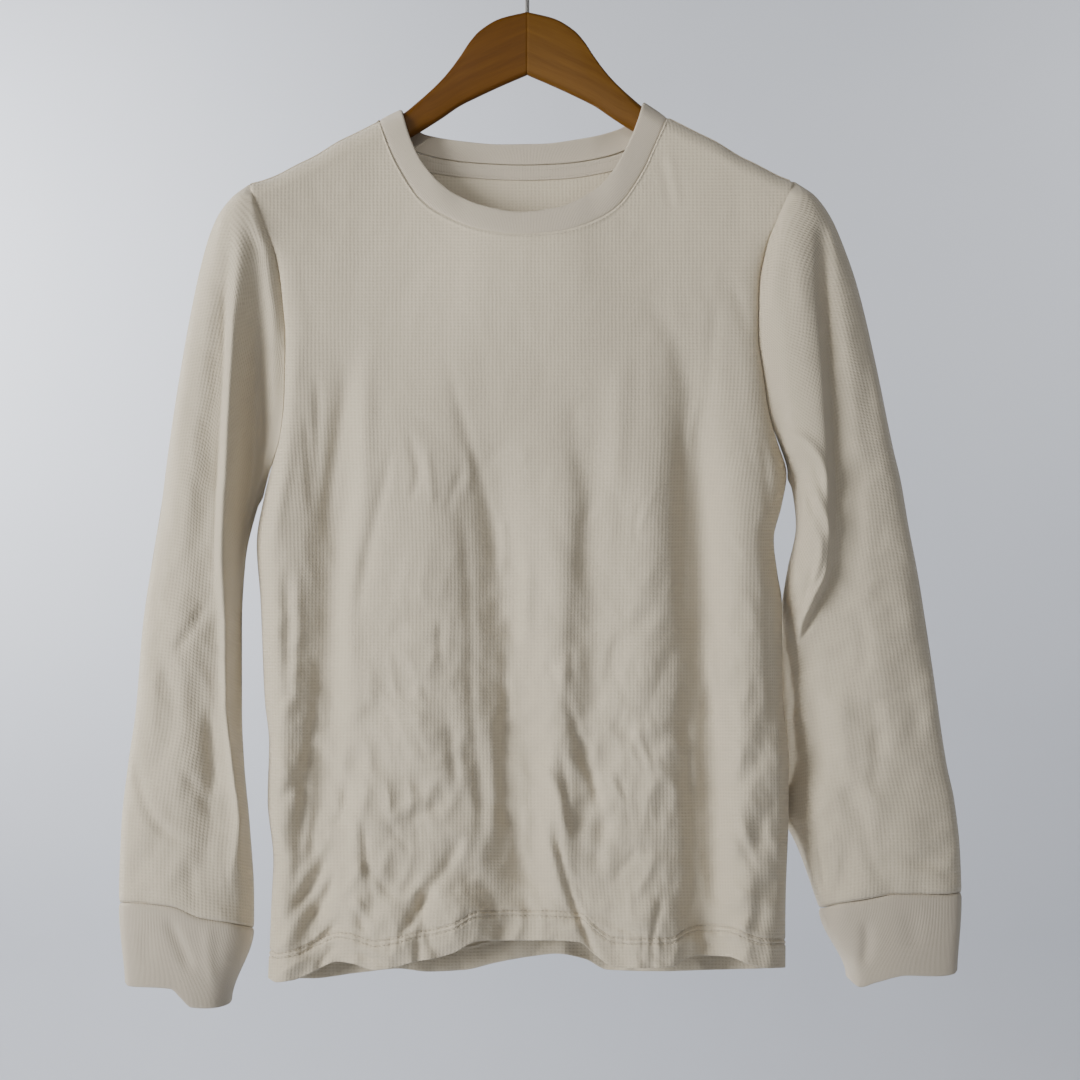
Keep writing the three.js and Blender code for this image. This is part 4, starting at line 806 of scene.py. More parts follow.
def panelTops(neckPoints):
    # the top end of every column: along one shoulder, the neck and the other shoulder
    def shoulder(top, end):
        q = np.linspace(0, 1, panelGrid["shoulderSteps"] + 1)[:-1]
        length = abs(end - top[0])
        q = np.unique(np.concatenate((q[q * length > 5], np.array((0,) + panelGrid["edgeLines"]) / length)))
        x = mix(top[0], end, q)
        toTop = top[1] - shoulderAt(top[0])
        return np.stack([x, shoulderAt(x) + toTop * (1 - ease(q / body["join"]))], 1)
    left = shoulder(body["leftTop"], neckPoints[0][0])
    right = shoulder(body["rightTop"], neckPoints[-1][0])[::-1]
    onNeck = np.zeros(len(left) + len(neckPoints) + len(right), bool)
    onNeck[len(left) + 1:len(left) + len(neckPoints) - 1] = True
    return np.concatenate((left, neckPoints, right)), onNeck


def hangPanel(neckPoints, hemAt, facing, creases):
    # columns fall from the shoulders and the neck, drawn in with the sides by the cube of how near they are
    tops, onNeck = panelTops(neckPoints)
    x0, z0 = tops.T
    t = (x0 - body["leftTop"][0]) / (body["rightTop"][0] - body["leftTop"][0])
    waist = mix(body["leftArmpit"], body["rightArmpit"], t)
    foot = hemAt(mix(-body["hemReach"], body["hemReach"], t))
    upper = rowDrop(np.linspace(0, 1, panelGrid["armholeRows"] + 1))[:, None]
    split = 1 - panelGrid["hemPart"]
    lower = np.concatenate((np.linspace(0, split, panelGrid["lowerRows"] + 1)[1:],
                            np.linspace(split, 1, panelGrid["hemRows"] + 1)[1:]))[:, None]
    z = np.concatenate((mix(z0, waist, upper), mix(waist, foot, lower)))
    x = x0 + (leftEdgeAt(z) - leftEdgeAt(z0)) * (1 - t) ** 3 + (rightEdgeAt(z) - rightEdgeAt(z0)) * t ** 3
    x[:, 0], x[:, -1] = leftEdgeAt(z[:, 0]), rightEdgeAt(z[:, -1])
    seam = np.zeros(x.shape)
    seam[0, ~onNeck] = seam[:, 0] = seam[:, -1] = facing * panelGrid["seam"]
    smooth = fromView(x, panelDepth(x, z, facing) + seam, z)
    grid = fromView(x, panelDepth(x, z, facing, creases) + seam, z)
    return x, z, smooth, grid, onNeck


chart = {"x": (-200, 200, 201), "z": (-770, -140, 211), "foot": 760}


def flatCut(x, z, facing):
    # how far across and up the cut each place lies: the panel's own length measured over its folds
    xs, zs = np.linspace(*chart["x"]), np.linspace(*chart["z"])
    gx, gz = np.meshgrid(xs, zs)
    y = panelDepth(gx, gz, facing)
    across = np.cumsum(np.sqrt(1 + np.gradient(y, xs, axis=1) ** 2), 1) * (xs[1] - xs[0])
    across = across - across[:, len(xs) // 2][:, None]
    i = np.clip((z - zs[0]) / (zs[1] - zs[0]), 0, len(zs) - 1.001)
    k = np.clip((x - xs[0]) / (xs[1] - xs[0]), 0, len(xs) - 1.001)
    i0, k0 = i.astype(int), k.astype(int)
    u = mix(mix(across[i0, k0], across[i0, k0 + 1], k - k0),
            mix(across[i0 + 1, k0], across[i0 + 1, k0 + 1], k - k0), i - i0)
    return np.stack([u, z + chart["foot"]], 2)


def lineAt(values, distance, wanted):
    # the place in each column where the distance, which falls down the column, is the wanted one
    i = np.argmax(distance < wanted, axis=0)
    k = np.arange(values.shape[1])
    t = (distance[i - 1, k] - wanted) / (distance[i - 1, k] - distance[i, k])
    return mix(values[i - 1, k], values[i, k], t[:, None])


def finishPanel(name, node, neckPoints, hemAt, facing, creases):
    x, z, smooth, grid, onNeck = hangPanel(neckPoints, hemAt, facing, creases)
    fromLeft, fromTop = runOf(smooth, 1), runOf(smooth, 0)
    fromRight, fromHem = fromLeft[:, -1:] - fromLeft, fromTop[-1:] - fromTop
    tuck = sum(bell(d, panelGrid["tuckWidth"]) for d in (fromLeft, fromRight, fromTop))
    rise = hem["rise"] * ease((hem["height"] - fromHem) / hem["turn"] + 0.5)
    groove = sum(bell(fromHem - row, hem["grooveWidth"]) for row in hem["rows"])
    wave = np.sin(fromLeft * 2 * np.pi / hem["puckerPitch"] + 1.5 * np.sin(fromLeft / hem["puckerDrift"]))
    wave = wave * bell(fromHem - hem["puckerAt"], hem["puckerWidth"])
    beat = 1 + neckRidge["beat"] * np.sin(fromLeft * 2 * np.pi / neckRidge["pitch"])
    onRidge = np.convolve(onNeck, np.ones(9) / 9, "same")
    ridge = bell(fromTop - neckRidge["at"], neckRidge["width"]) * beat * onRidge
    offset = (rise - hem["groove"] * groove + hem["pucker"] * wave + neckRidge["height"] * ridge
              - panelGrid["tuck"] * np.minimum(tuck, 1))
    normals = gridNormals(smooth, False, facing)
    outer = grid + normals * offset[..., None]
    half = body["wall"] / 2 * mix(panelGrid["topThin"], 1, ease(fromTop / panelGrid["topFade"]))
    rim = panelGrid["rim"]
    cloth = shell(outer, normals, half, flatCut(x, z, facing), rims=(rim, body["wall"] / 2, rim, rim))
    panel = makeCloth(name, node, waffleFinish, "waffle_knit", cloth)
    rows = [[lineAt(v, fromHem, row)[3:-3] for v in (outer, normals)] for row in hem["rows"]]
    start = (outer.shape[1] - len(neckPoints)) // 2
    span = slice(start + 2, start + len(neckPoints) - 2)
    neckRow = [lineAt(v[:, span], -fromTop[:, span], -neckRidge["row"]) for v in (outer, normals)]
    return panel, rows, neckRow


front, frontRows, frontNeckRow = finishPanel(
    "front_panel", "body_front", frontNeck[2], frontHemAt, -1, frontCreases)
back, backRows, backNeckRow = finishPanel(
    "back_panel", "body_back", backNeck[2], backHemAt, 1, backCreases)
frontStitches = stitches("front_hem_stitches", frontRows, **hem["stitch"])
backStitches = stitches("back_hem_stitches", backRows, **hem["stitch"])
print("body panels made")


def bandGrid():
    # out from the seam to the free edge, which leans in a little: the front first, then the back in reverse
    edge = np.concatenate((frontNeck[0], backNeck[0][::-1][1:-1]))
    seam = np.concatenate((frontNeck[1], backNeck[1][::-1][1:-1]))
    facing = np.concatenate((-np.ones(len(frontNeck[0])), np.ones(len(backNeck[0]) - 2)))
    t = np.linspace(0, 1, neck["rows"])[:, None]
    x, z = mix(seam[:, 0], edge[:, 0], t), mix(seam[:, 1], edge[:, 1], t)
    free = ease((neck["leanReach"] - np.abs(x)) / neck["leanFade"])
    y = np.where(facing < 0, panelDepth(x, z, -1), panelDepth(x, z, 1))
    y = y + facing * (neck["overArm"] * (1 - free) - neck["leanDepth"] * free) * t
    return fromView(x, y, z), t


band, bandShare = bandGrid()
bandNormals, bandDown = gridNormals(band, True, 1), runOf(band, 0)
bandRun = runOf(closed(band), 1)
bandUv = np.stack([np.broadcast_to(bandRun[0], bandRun.shape), closed(bandDown)], 2)
swell = neck["swell"] * np.sin(np.pi * bandShare) - neck["dip"] * bell(bandDown, neck["dipWidth"])
bandOuter = band + bandNormals * swell[..., None]
neckband = makeCloth("neck_band", "neckband", plainFinish, "plain_knit", shell(
    bandOuter, bandNormals, neck["wall"] / 2, bandUv, True, (0.1, neck["wall"] / 2)))

seamAt = curve(neck["backSeam"])
tapeX = tape["centre"] + np.linspace(-tape["reach"], tape["reach"], tape["steps"] + 1)[None]
tapeDown = tape["width"] * np.linspace(0, 1, tape["rows"] + 1)[:, None]
tapeZ = seamAt(tapeX) - tape["drop"] - tapeDown
tapeX = tapeX + 0 * tapeZ
tapeOuter = fromView(tapeX, panelDepth(tapeX, tapeZ, 1) - body["wall"] - tape["lift"], tapeZ)
tapeNormals = gridNormals(tapeOuter, False, 1)
tapeGroove = sum(bell(tapeDown - g, tape["grooveWidth"]) for g in tape["grooves"])
tapeHalf = tape["wall"] / 2 - tape["groove"] * tapeGroove
backTape = makeCloth("neck_tape", "back_neck_tape", plainFinish, "plain_knit", shell(
    tapeOuter, tapeNormals, tapeHalf, np.stack([tapeX, tapeZ], 2), rims=(tape["wall"] / 2,) * 4))
tapeInner = tapeOuter - tapeNormals * 2 * (tapeHalf + np.zeros(tapeX.shape))[..., None]
tapeRows = [int(round(g / tape["width"] * tape["rows"])) for g in tape["grooves"]]
tapeLines = [(tapeInner[k], -tapeNormals[k]) for k in tapeRows]
tapeStitches = stitches("tape_stitches", tapeLines, **tape["stitch"])
neckStitches = stitches("neck_stitches", [frontNeckRow, backNeckRow], **neckRidge["stitch"])
print("neckband made")

sleeves = {
    "left": {
        "sign": -1, "top": body["leftTop"], "armpit": body["leftArmpit"], "edgeAt": leftEdgeAt,
        "sections": [
            (-191.3, -194, -19, -194, -19, -194, -19, -194.2, -19, -194.4, -19, -194.7, -19, -195, -19),
            (-200, -190, -28, -193, -29, -196, -29.5, -199, -29.5, -202, -28.5, -205, -25.5, -206.5, -20),
            (-215, -185, -29, -190, -30.5, -196, -31.5, -203, -32, -208, -31, -213.5, -28, -217.5, -19),
            (-237, -178, -27, -184, -28.5, -191, -28, -202, -32, -208.5, -30, -217.5, -28, -225.5, -17),
            (-284, -171, -22, -178, -22.5, -188, -18.5, -205, -32, -211, -28, -224, -28.5, -236, -15),
            (-349, -170, -15, -177, -17, -189, -8, -209, -32, -215.5, -27, -232, -28.5, -247, -13),
            (-388, -179, -9, -184, -11, -191, -5, -211, -32, -218, -27, -236, -28.5, -252.5, -12),
            (-412, -187, -4, -190, -5, -195, -4, -213, -31.5, -219.5, -27, -240, -28.5, -255.5, -12),
            (-455, -197, 0, -199, -4, -203, -10, -214, -30, -220, -26, -243, -28, -262.5, -12),
            (-500, -199.5, 0, -203, -6, -206.5, -14, -212, -26, -218, -24.5, -246, -28, -269, -12),
            (-560, -199.5, 0, -204, -6, -207.5, -14, -210.5, -25, -215, -23.5, -246, -28, -274, -12),
            (-595, -198, 0, -200, -8, -202, -16, -207, -26, -212, -22.5, -246, -29, -279, -12),
            (-640, -194, 0, -195, -8, -198, -17, -201.5, -24, -207, -23, -246, -29, -284, -12),
            (-690, -191, -2, -193, -9, -198, -16, -206, -22, -216, -25, -250, -27, -285.6, -12),
            (-712, -191, -2, -193, -9, -198, -16, -206, -22, -216, -25, -250, -27, -285.6, -12)],
        "cuffSeam": [(-285.6, -693.7), (-271, -694.4), (-248, -697.2), (-229, -704.9), (-206, -708.4),
                     (-191, -711)],
        "cuffMiddle": -697.2,
        "cuffHem": [(-281, -745.5), (-257, -744.8), (-243, -745.5), (-236, -752), (-229, -758.5),
                    (-206, -760.5)],
        "cuffEnds": (-191, -285.6, -206, -281),
        "front": drawn([
            ([(240, 208), (258, 250), (277, 308)], 6.0, -1.5, 0.2),
            ([(226, 232), (222, 290), (222, 370), (217, 450), (212, 540), (210, 610)], 2.0, -1.5, -0.5),
            ([(232, 240), (227, 320), (222, 420), (219, 540)], 3.6, 1.4, 0),
            ([(262, 240), (270, 300), (268, 360)], 5.0, 0.5, 0),
            ([(130, 735), (138, 790), (154, 828), (206, 850)], 3.2, -2.0, 0.5),
            ([(207, 598), (188, 630), (168, 660)], 3.0, -2.0, 0.5),
            ([(189, 860), (189, 903)], 3.2, -1.5, 0),
            ([(230, 745), (229, 830), (236, 915)], 6.0, 1.8, 0),
            ([(204, 690), (210, 780), (204, 870)], 4.2, -1.7, 0.3),
            ([(160, 400), (150, 560), (138, 700)], 8.0, -1.3, 0.2),
            ([(180, 280), (172, 420), (166, 540)], 8.0, 1.3, 0.2),
            ([(236, 560), (234, 640), (228, 720)], 4.0, -1.8, 0),
            ([(222, 560), (224, 640), (220, 720)], 3.5, 1.4, 0),
            ([(150, 600), (146, 680), (150, 740)], 5.0, 1.2, 0),
            ([(170, 760), (196, 790), (214, 830)], 3.6, -1.2, 0),
            ([(205, 200), (196, 260), (190, 330)], 7.0, -1.2, 0),
        ]) + smallCreases(21, 26, -275, -205, -300, -690, 0.5),
        "cuff": drawn([([(163, 912), (178, 945), (191, 975)], 4.0, -2.0, 0.6),
                       ([(205, 915), (204, 950), (210, 990)], 4.0, 1.2, 0),
                       ([(140, 925), (144, 965)], 5.0, -0.8, 0)]),
    },
    "right": {
        "sign": 1, "top": body["rightTop"], "armpit": body["rightArmpit"], "edgeAt": rightEdgeAt,
        "sections": [
            (-189.3, 186.4, -17, 186.4, -17, 186.4, -17, 186.6, -17, 186.8, -17, 187, -17, 187.4, -17),
            (-199, 183, -27, 187, -28.5, 190, -29.5, 194, -29.5, 197, -28.5, 199.8, -25.5, 201.5, -19.5),
            (-214, 175.5, -29, 182, -30.5, 189, -32.5, 197, -32.5, 203.5, -31, 209, -27, 212.5, -19),
            (-228, 170, -29, 178, -30, 186, -32.5, 199, -32.5, 206.5, -28, 213.5, -27, 219, -18),
            (-262, 162.4, -25, 172, -29, 183, -33, 200.5, -33.5, 206.5, -26, 219, -28, 231, -16),
            (-314, 164.5, -20, 173, -27, 184, -33, 204.5, -34.5, 210.7, -25.5, 227, -28, 243.5, -14),
            (-377, 177, -9, 183, -22, 190, -31, 208.5, -35, 215, -25.5, 235, -28, 256.5, -12),
            (-398, 184, -4, 188, -14, 193, -24, 209.5, -35, 215.8, -25, 238, -27, 261.5, -12),
            (-430, 188, -4, 189.5, -16, 193, -27, 210, -34.5, 216.3, -25, 240, -27, 267, -12),
            (-461, 182, -1, 184, -13, 189, -24, 208, -32, 214.2, -24, 242, -27, 273, -12),
            (-482, 178.5, 5, 181, -6, 187, -17, 200, -28, 205, -22, 242, -27, 276.5, -12),
            (-503, 176, 11, 181, 3, 186, -8, 191.5, -20, 197, -19, 240, -27, 279.7, -12),
            (-531, 172, 14, 180, 9, 186, 0, 190, -8, 195, -13, 238, -27, 284, -12),
            (-596, 170, 15, 180, 11, 189, 2, 197, -8, 208, -17, 243, -26, 293.5, -12),
            (-622, 174, 14, 182, 9, 190, -1, 199, -11, 211, -18, 247, -26, 299, -12),
            (-657, 190, 7, 192, 0, 196, -7, 204, -13, 216, -18, 251, -25, 303, -12),
            (-698, 204.5, 0, 206, -6, 210, -11, 218, -16, 229, -19, 259, -22, 304.5, -12)],
        "cuffSeam": [(204.5, -697.2), (219, -694.4), (238, -691.6), (261, -688.1), (294, -688.1),
                     (304.5, -686.7)],
        "cuffMiddle": -691.6,
        "cuffHem": [(223, -744), (229, -747.6), (240, -743.4), (261, -737.8), (284, -738.5), (301, -737.1)],
        "cuffEnds": (204.5, 304.5, 223, 301),
        "front": drawn([
            ([(821, 225), (824, 278), (826, 327), (829, 376), (832, 420), (834, 500), (833, 560)],
             2.0, -2.0, 0.4),
            ([(834, 530), (830, 578), (818, 602), (805, 628), (790, 660)], 2.2, -2.4, 0.4),
            ([(776, 438), (789, 433), (802, 437), (813, 449), (823, 466), (829, 500)], 2.8, 2.2, 0.2),
            ([(770, 430), (776, 446), (786, 458), (796, 458)], 2.4, -2.2, 0),
            ([(800, 458), (807, 478), (818, 501), (827, 520), (832, 545), (826, 575), (810, 598),
              (792, 640)], 2.4, 2.0, 0.2),
            ([(804, 482), (809, 507), (817, 524), (821, 545)], 1.9, -2.0, 0),
            ([(806, 500), (815, 520), (820, 545), (816, 570), (802, 595)], 2.2, 1.8, 0),
            ([(798, 500), (800, 540), (796, 580)], 4.0, -1.6, 0),
            ([(811, 462), (817, 480), (824, 500)], 1.8, -1.2, 0),
            ([(812, 560), (806, 590), (794, 618)], 2.2, -1.4, 0),
            ([(784, 200), (792, 250), (796, 320)], 7.0, 1.2, 0),
            ([(806, 240), (812, 320), (815, 400)], 6.0, -0.8, 0),
            ([(806, 672), (813, 730), (815, 800)], 6.5, -3.0, 0.2),
            ([(832, 680), (838, 735), (841, 795)], 6.0, 2.0, 0),
            ([(795, 760), (810, 813), (820, 867), (826, 915)], 1.6, -0.9, 0),
            ([(869, 680), (877, 735), (871, 800)], 3.6, -2.2, 0.5),
            ([(852, 600), (862, 640), (858, 680)], 4.0, -1.5, 0),
            ([(875, 698), (903, 691)], 2.6, -1.6, 0.5),
            ([(903, 550), (916, 620), (930, 690)], 5.0, -1.6, -0.4),
            ([(890, 856), (925, 860), (960, 880)], 4.0, -1.7, 0.6),
            ([(886, 880), (920, 872), (950, 868)], 5.0, 1.2, 0),
            ([(870, 330), (880, 440), (884, 560)], 8.0, 1.2, 0.2),
            ([(852, 440), (852, 500), (850, 575)], 7.0, -1.8, 0),
            ([(856, 795), (865, 850), (880, 892)], 4.5, -1.4, 0.4),
            ([(848, 300), (862, 360), (866, 430)], 6.0, -1.2, 0),
        ]) + smallCreases(22, 26, 210, 285, -300, -680, 0.5),
        "cuff": drawn([([(862, 915), (866, 940), (860, 968)], 4.0, -1.8, 0.5),
                       ([(905, 905), (910, 950)], 5.0, -0.8, 0)]),
    },
}
sleeveGrid = {
    "steps": 78, "rows": 214, "share": 0.22, "back": 9.0, "settle": 40.0, "inset": 3.5, "turn": 0.62,
    "leave": 10.0, "armpitGap": 0.2, "armpitRise": 60.0, "tuckUnder": 0.7, "tuckRows": 5,
    "creaseIn": 0.1, "creaseTop": 20.0, "creaseRise": 30.0, "worn": (0.25, 0.8), "wornTop": -330.0,
    "wornRise": 250.0, "seed": 51, "tip": 7.0, "tipThin": 0.15, "dip": 0.5, "footDip": 0.6, "dipWidth": 1.4,
    "lean": 42.0, "flapShare": 4 / 7, "flapFoot": -490.0,  # the flap shows the knit on its slant
}
cuffGrid = {"rows": 24, "gap": 0.6, "squash": 0.8, "wall": 2.0, "swell": 0.5, "dip": 0.7, "dipWidth": 1.3,
            "creaseIn": 12.0, "creaseTop": 6}
backSleeveCreases = {
    "left": drawn([
        ([(180, 300), (190, 420), (170, 560)], 6.0, -2.0, 0.3),
        ([(200, 620), (170, 700), (180, 800)], 5.0, -1.6, 0.4),
        ([(140, 700), (150, 800), (145, 880)], 5.0, 1.4, 0),
    ]) + smallCreases(31, 26, -275, -200, -300, -690, 0.5),
    "right": drawn([
        ([(840, 300), (850, 440), (880, 580)], 6.0, -2.0, 0.3),
        ([(900, 620), (870, 700), (890, 810)], 5.0, -1.6, 0.4),
        ([(930, 700), (920, 800), (930, 870)], 5.0, 1.4, 0),
    ]) + smallCreases(32, 26, 205, 285, -300, -680, 0.5),
}


def centripetal(nodes, run):
    # a Catmull-Rom curve through the nodes whose knots are the square roots of their spacing
    n = len(nodes)
    padded = np.concatenate(([2 * nodes[0] - nodes[1]], nodes, [2 * nodes[-1] - nodes[-2]]))
    at = run * (n - 1)
    i = np.clip(np.floor(at).astype(int), 0, n - 2)
    w = (at - i)[..., None]
    rows, cols = np.indices(run.shape)
    p = [padded[i + j, rows, cols] for j in range(4)]
    d = [np.sqrt(np.linalg.norm(p[j + 1] - p[j], axis=-1, keepdims=True)) for j in range(3)]
    d[1] = np.where(d[1] < 1e-4, 1, d[1])
    d[0], d[2] = (np.where(e < 1e-4, d[1], e) for e in (d[0], d[2]))
    t1 = ((p[1] - p[0]) / d[0] - (p[2] - p[0]) / (d[0] + d[1]) + (p[2] - p[1]) / d[1]) * d[1]
    t2 = ((p[2] - p[1]) / d[1] - (p[3] - p[1]) / (d[1] + d[2]) + (p[3] - p[2]) / d[2]) * d[1]
    return p[1] + w * t1 + w ** 2 * (3 * (p[2] - p[1]) - 2 * t1 - t2) + w ** 3 * (2 * (p[1] - p[2]) + t1 + t2)


def sleevePoints(side, columns, run, z):
    # run is 0 at the front seam, 1 at the outer edge and 2 at the back seam
    edge = side["edgeAt"](z)
    settled = ease((side["top"][1] - z) / sleeveGrid["settle"])
    below = ease((side["armpit"] - z) / sleeveGrid["leave"])  # 0 along the armhole
    at = [np.stack([columns[j](z), columns[j + 1](z)], -1) for j in range(0, 14, 2)]
    frontSeam = mix(np.stack([edge, panelDepth(edge, z, -1)], -1), at[0], below[..., None])
    backSeam = np.stack([frontSeam[..., 0], mix(panelDepth(edge, z, 1), frontSeam[..., 1], below)], -1)
    outer = at[6]
    turning = np.stack([outer[..., 0] - side["sign"] * sleeveGrid["inset"] * settled,
                        mix(outer[..., 1], at[5][..., 1], sleeveGrid["turn"])], -1)
    fronts = centripetal(np.array([frontSeam] + at[1:6] + [turning, outer]), np.clip(run, 0, 1))
    t = np.clip(run - 1, 0, 1)[..., None]
    backs = mix(outer, backSeam, t)
    rounded = quarterRound(np.minimum(t, 1 - t)[..., 0] / sleeveGrid["share"])
    backs[..., 1] += sleeveGrid["back"] * rounded * settled
    return np.where(run[..., None] > 1, backs, fronts)


def makeSleeve(name):
    side = sleeves[name]
    sign, (_, top), armpit, steps = side["sign"], side["top"], side["armpit"], sleeveGrid["steps"]
    table = np.array(side["sections"], float)
    columns = [curve(table[:, [0, j]].tolist()) for j in range(1, 15)]
    k = np.arange(2 * steps)
    onBack = k > steps
    startShare = np.where(onBack, 2 * steps - k, k) / steps
    startZ = mix(top, armpit, rowDrop(1 - startShare))
    flatZ = np.full((1, 2 * steps), side["cuffMiddle"])
    endX = sleevePoints(side, columns, np.where(onBack, 2 - startShare, startShare)[None], flatZ)[0, :, 0]
    q = np.linspace(0, 1, sleeveGrid["rows"] + 1)[:, None]
    z = mix(startZ, curve(side["cuffSeam"])(endX) + panelGrid["seam"], rowDrop(q))
    passed = 1 - rowAtDrop(np.clip((top - z) / (top - armpit), 0, 1))  # the columns that start lower down
    share = np.clip((startShare - passed) / np.maximum(1 - passed, 1e-6), 0, 1)
    share[0, steps] = 1
    run = np.where(onBack, 2 - share, share)
    flat = sleevePoints(side, columns, run, z)
    rise = ease((z - armpit) / sleeveGrid["armpitRise"])
    gap = mix(sleeveGrid["armpitGap"], -sleeveGrid["tuckUnder"], rise)
    x = flat[..., 0] + sign * gap * (1 - ease(np.arange(len(z))[:, None] / sleeveGrid["tuckRows"]))
    smooth = fromView(x, flat[..., 1], z)
    fade = quarterRound(np.minimum(share, 1 - share) / sleeveGrid["creaseIn"])
    fade = fade * ease((top - z - sleeveGrid["creaseTop"]) / sleeveGrid["creaseRise"])
    worn = mix(*sleeveGrid["worn"], ease((sleeveGrid["wornTop"] - z) / sleeveGrid["wornRise"]))
    worn = crumple(sleeveGrid["seed"] + sign, x, z) * worn
    bump = np.where(onBack, creaseHeight(backSleeveCreases[name], x, z) + worn,
                    -creaseHeight(side["front"], x, z) - worn)
    grid = fromView(x, flat[..., 1] + bump * fade, z)
    normals, fromTop = gridNormals(smooth, True, -sign), runOf(smooth, 0)
    fromFoot = fromTop[-1:] - fromTop
    offTip = ease((top - z) / sleeveGrid["tip"])  # the cloth thins out towards the tip of the armhole
    offset = (-sleeveGrid["dip"] * bell(fromTop, sleeveGrid["dipWidth"]) * offTip
              - sleeveGrid["footDip"] * bell(fromFoot, sleeveGrid["dipWidth"]))
    half = body["wall"] / 2 * mix(sleeveGrid["tipThin"], 1, offTip)
    outer = grid + normals * offset[..., None]
    across, down = runOf(closed(smooth), 1), closed(fromFoot)
    across = across - across[:, steps:steps + 1]
    lean = math.radians(sleeveGrid["lean"]) * sign
    leanAcross = across * math.cos(lean) - down * math.sin(lean)
    leaning = np.stack([leanAcross, across * math.sin(lean) + down * math.cos(lean)], 2)
    onFlap = closed(((run < sleeveGrid["flapShare"]) & (z > sleeveGrid["flapFoot"])).astype(float))

    def carried(uv):
        return shell(outer, normals, half, uv, True, (0.1, 0.1))
    points, faces, straight = carried(np.stack([across, down], 2))
    flap = carried(onFlap[..., None] * [1, 1])[2].mean((1, 2)) > 0.5
    uv = np.where(flap[:, None, None], carried(leaning)[2], straight)
    sleeve = makeCloth(name + "_sleeve", "sleeve_" + name, waffleFinish, "waffle_knit", (points, faces, uv))
    return sleeve, makeCuff(name, side, smooth[-1], onBack)


def makeCuff(name, side, ring, onBack):
    # carries on from the sleeve's last ring and narrows to its hem
    topInner, topOuter, footInner, footOuter = side["cuffEnds"]
    t = np.linspace(0, 1, cuffGrid["rows"] + 1)[:, None]
    share = (ring[:, 0] - topInner) / (topOuter - topInner)
    x = mix(ring[:, 0], mix(footInner, footOuter, share), ease(t))
    y = mix(ring[:, 1], mix(ring[:, 1].mean(), ring[:, 1], cuffGrid["squash"]), t)
    z = mix(ring[:, 2] - cuffGrid["gap"], curve(side["cuffHem"])(x), t)
    smooth = np.stack([x, y, z], 2)
    normals, down = gridNormals(smooth, True, -side["sign"]), runOf(smooth, 0)
    fromSide = np.minimum(x - x.min(1, keepdims=True), x.max(1, keepdims=True) - x)
    back = view["distance"] / (view["distance"] + y)  # onto the hook's plane again
    creases = creaseHeight(side["cuff"], mix(view["x"], x, back), mix(view["z"], z, back))
    fade = quarterRound(fromSide / cuffGrid["creaseIn"]) * ease(t * cuffGrid["creaseTop"])
    offset = cuffGrid["swell"] * np.sin(np.pi * t) - cuffGrid["dip"] * bell(down, cuffGrid["dipWidth"])
    grid = smooth + normals * offset[..., None]
    grid[..., 1] -= np.where(onBack, 0, creases) * fade
    run, half = runOf(closed(smooth), 1), cuffGrid["wall"] / 2
    uv = np.stack([np.broadcast_to(run[0], run.shape), closed(down)], 2)
    return makeCloth(name + "_cuff", "cuff_" + name, plainFinish, "plain_knit",
                     shell(grid, normals, half, uv, True, (0.1, half)))


leftSleeve, leftCuff = makeSleeve("left")
rightSleeve, rightCuff = makeSleeve("right")
print("sleeves made")


def makeArm(name, node, sign, finish):
    # a rounded rectangle carried from the mitre to the tip, where it closes in
    tip = np.linspace(0.15, 1, hanger["tipSteps"]) * np.pi / 2
    tipStart, stations = hanger["end"] - hanger["tip"], hanger["stations"]
    x = np.concatenate(([hanger["joint"]], np.linspace(0.25, tipStart, stations),
                        tipStart + hanger["tip"] * np.sin(tip)))
    shrink = np.concatenate(([0.985], np.ones(stations), np.cos(tip) * 0.97 + 0.03))
    top, bottom = armTopAt(x), armBottomAt(x)
    middle = (top + bottom) / 2
    corner = mix(hanger["corner"], hanger["cornerUnderCloth"],
                 ease((x - hanger["cloth"]) / hanger["clothRise"]))
    count = hanger["cornerSteps"]
    sy, sz = np.repeat([1, -1, -1, 1], count), np.repeat([1, 1, -1, -1], count)
    angle = np.radians(np.concatenate([np.linspace(start, start + 90, count) for start in (0, 90, 180, 270)]))
    wide, high = (hanger["thickness"] / 2 * shrink)[:, None], ((top - bottom) / 2 * shrink)[:, None]
    corner = (corner * shrink)[:, None] * np.where(sz > 0, 1, hanger["lowerRound"])
    corner = np.minimum(corner, wide * 0.96)
    y = armDepth(x)[:, None] + sy * (wide - corner) + corner * np.cos(angle)
    z = middle[:, None] + sz * (high - corner) + corner * np.sin(angle)
    grid = fromView(sign * x[:, None] + 0 * y, y, z)
    quads, ends = tubeFaces(*y.shape, sign > 0)
    around = runOf(closed(grid), 1)
    around = around - around[:, 2 * count:2 * count + 1]
    run = np.concatenate(([0], np.cumsum(np.hypot(np.diff(x), np.diff(middle)))))
    quadUv = cells(np.stack([run[:, None] + 0 * around, around], 2))
    if sign > 0:
        quadUv = quadUv[:, [0, 3, 2, 1]]
    uv = np.concatenate((quadUv.reshape(-1, 2), np.zeros((ends.size, 2))))
    return makePiece(name, grid.reshape(-1, 3), quads.tolist() + ends.tolist(), finish, "stained_wood", node,
                     uv=uv, flatEnds=2)


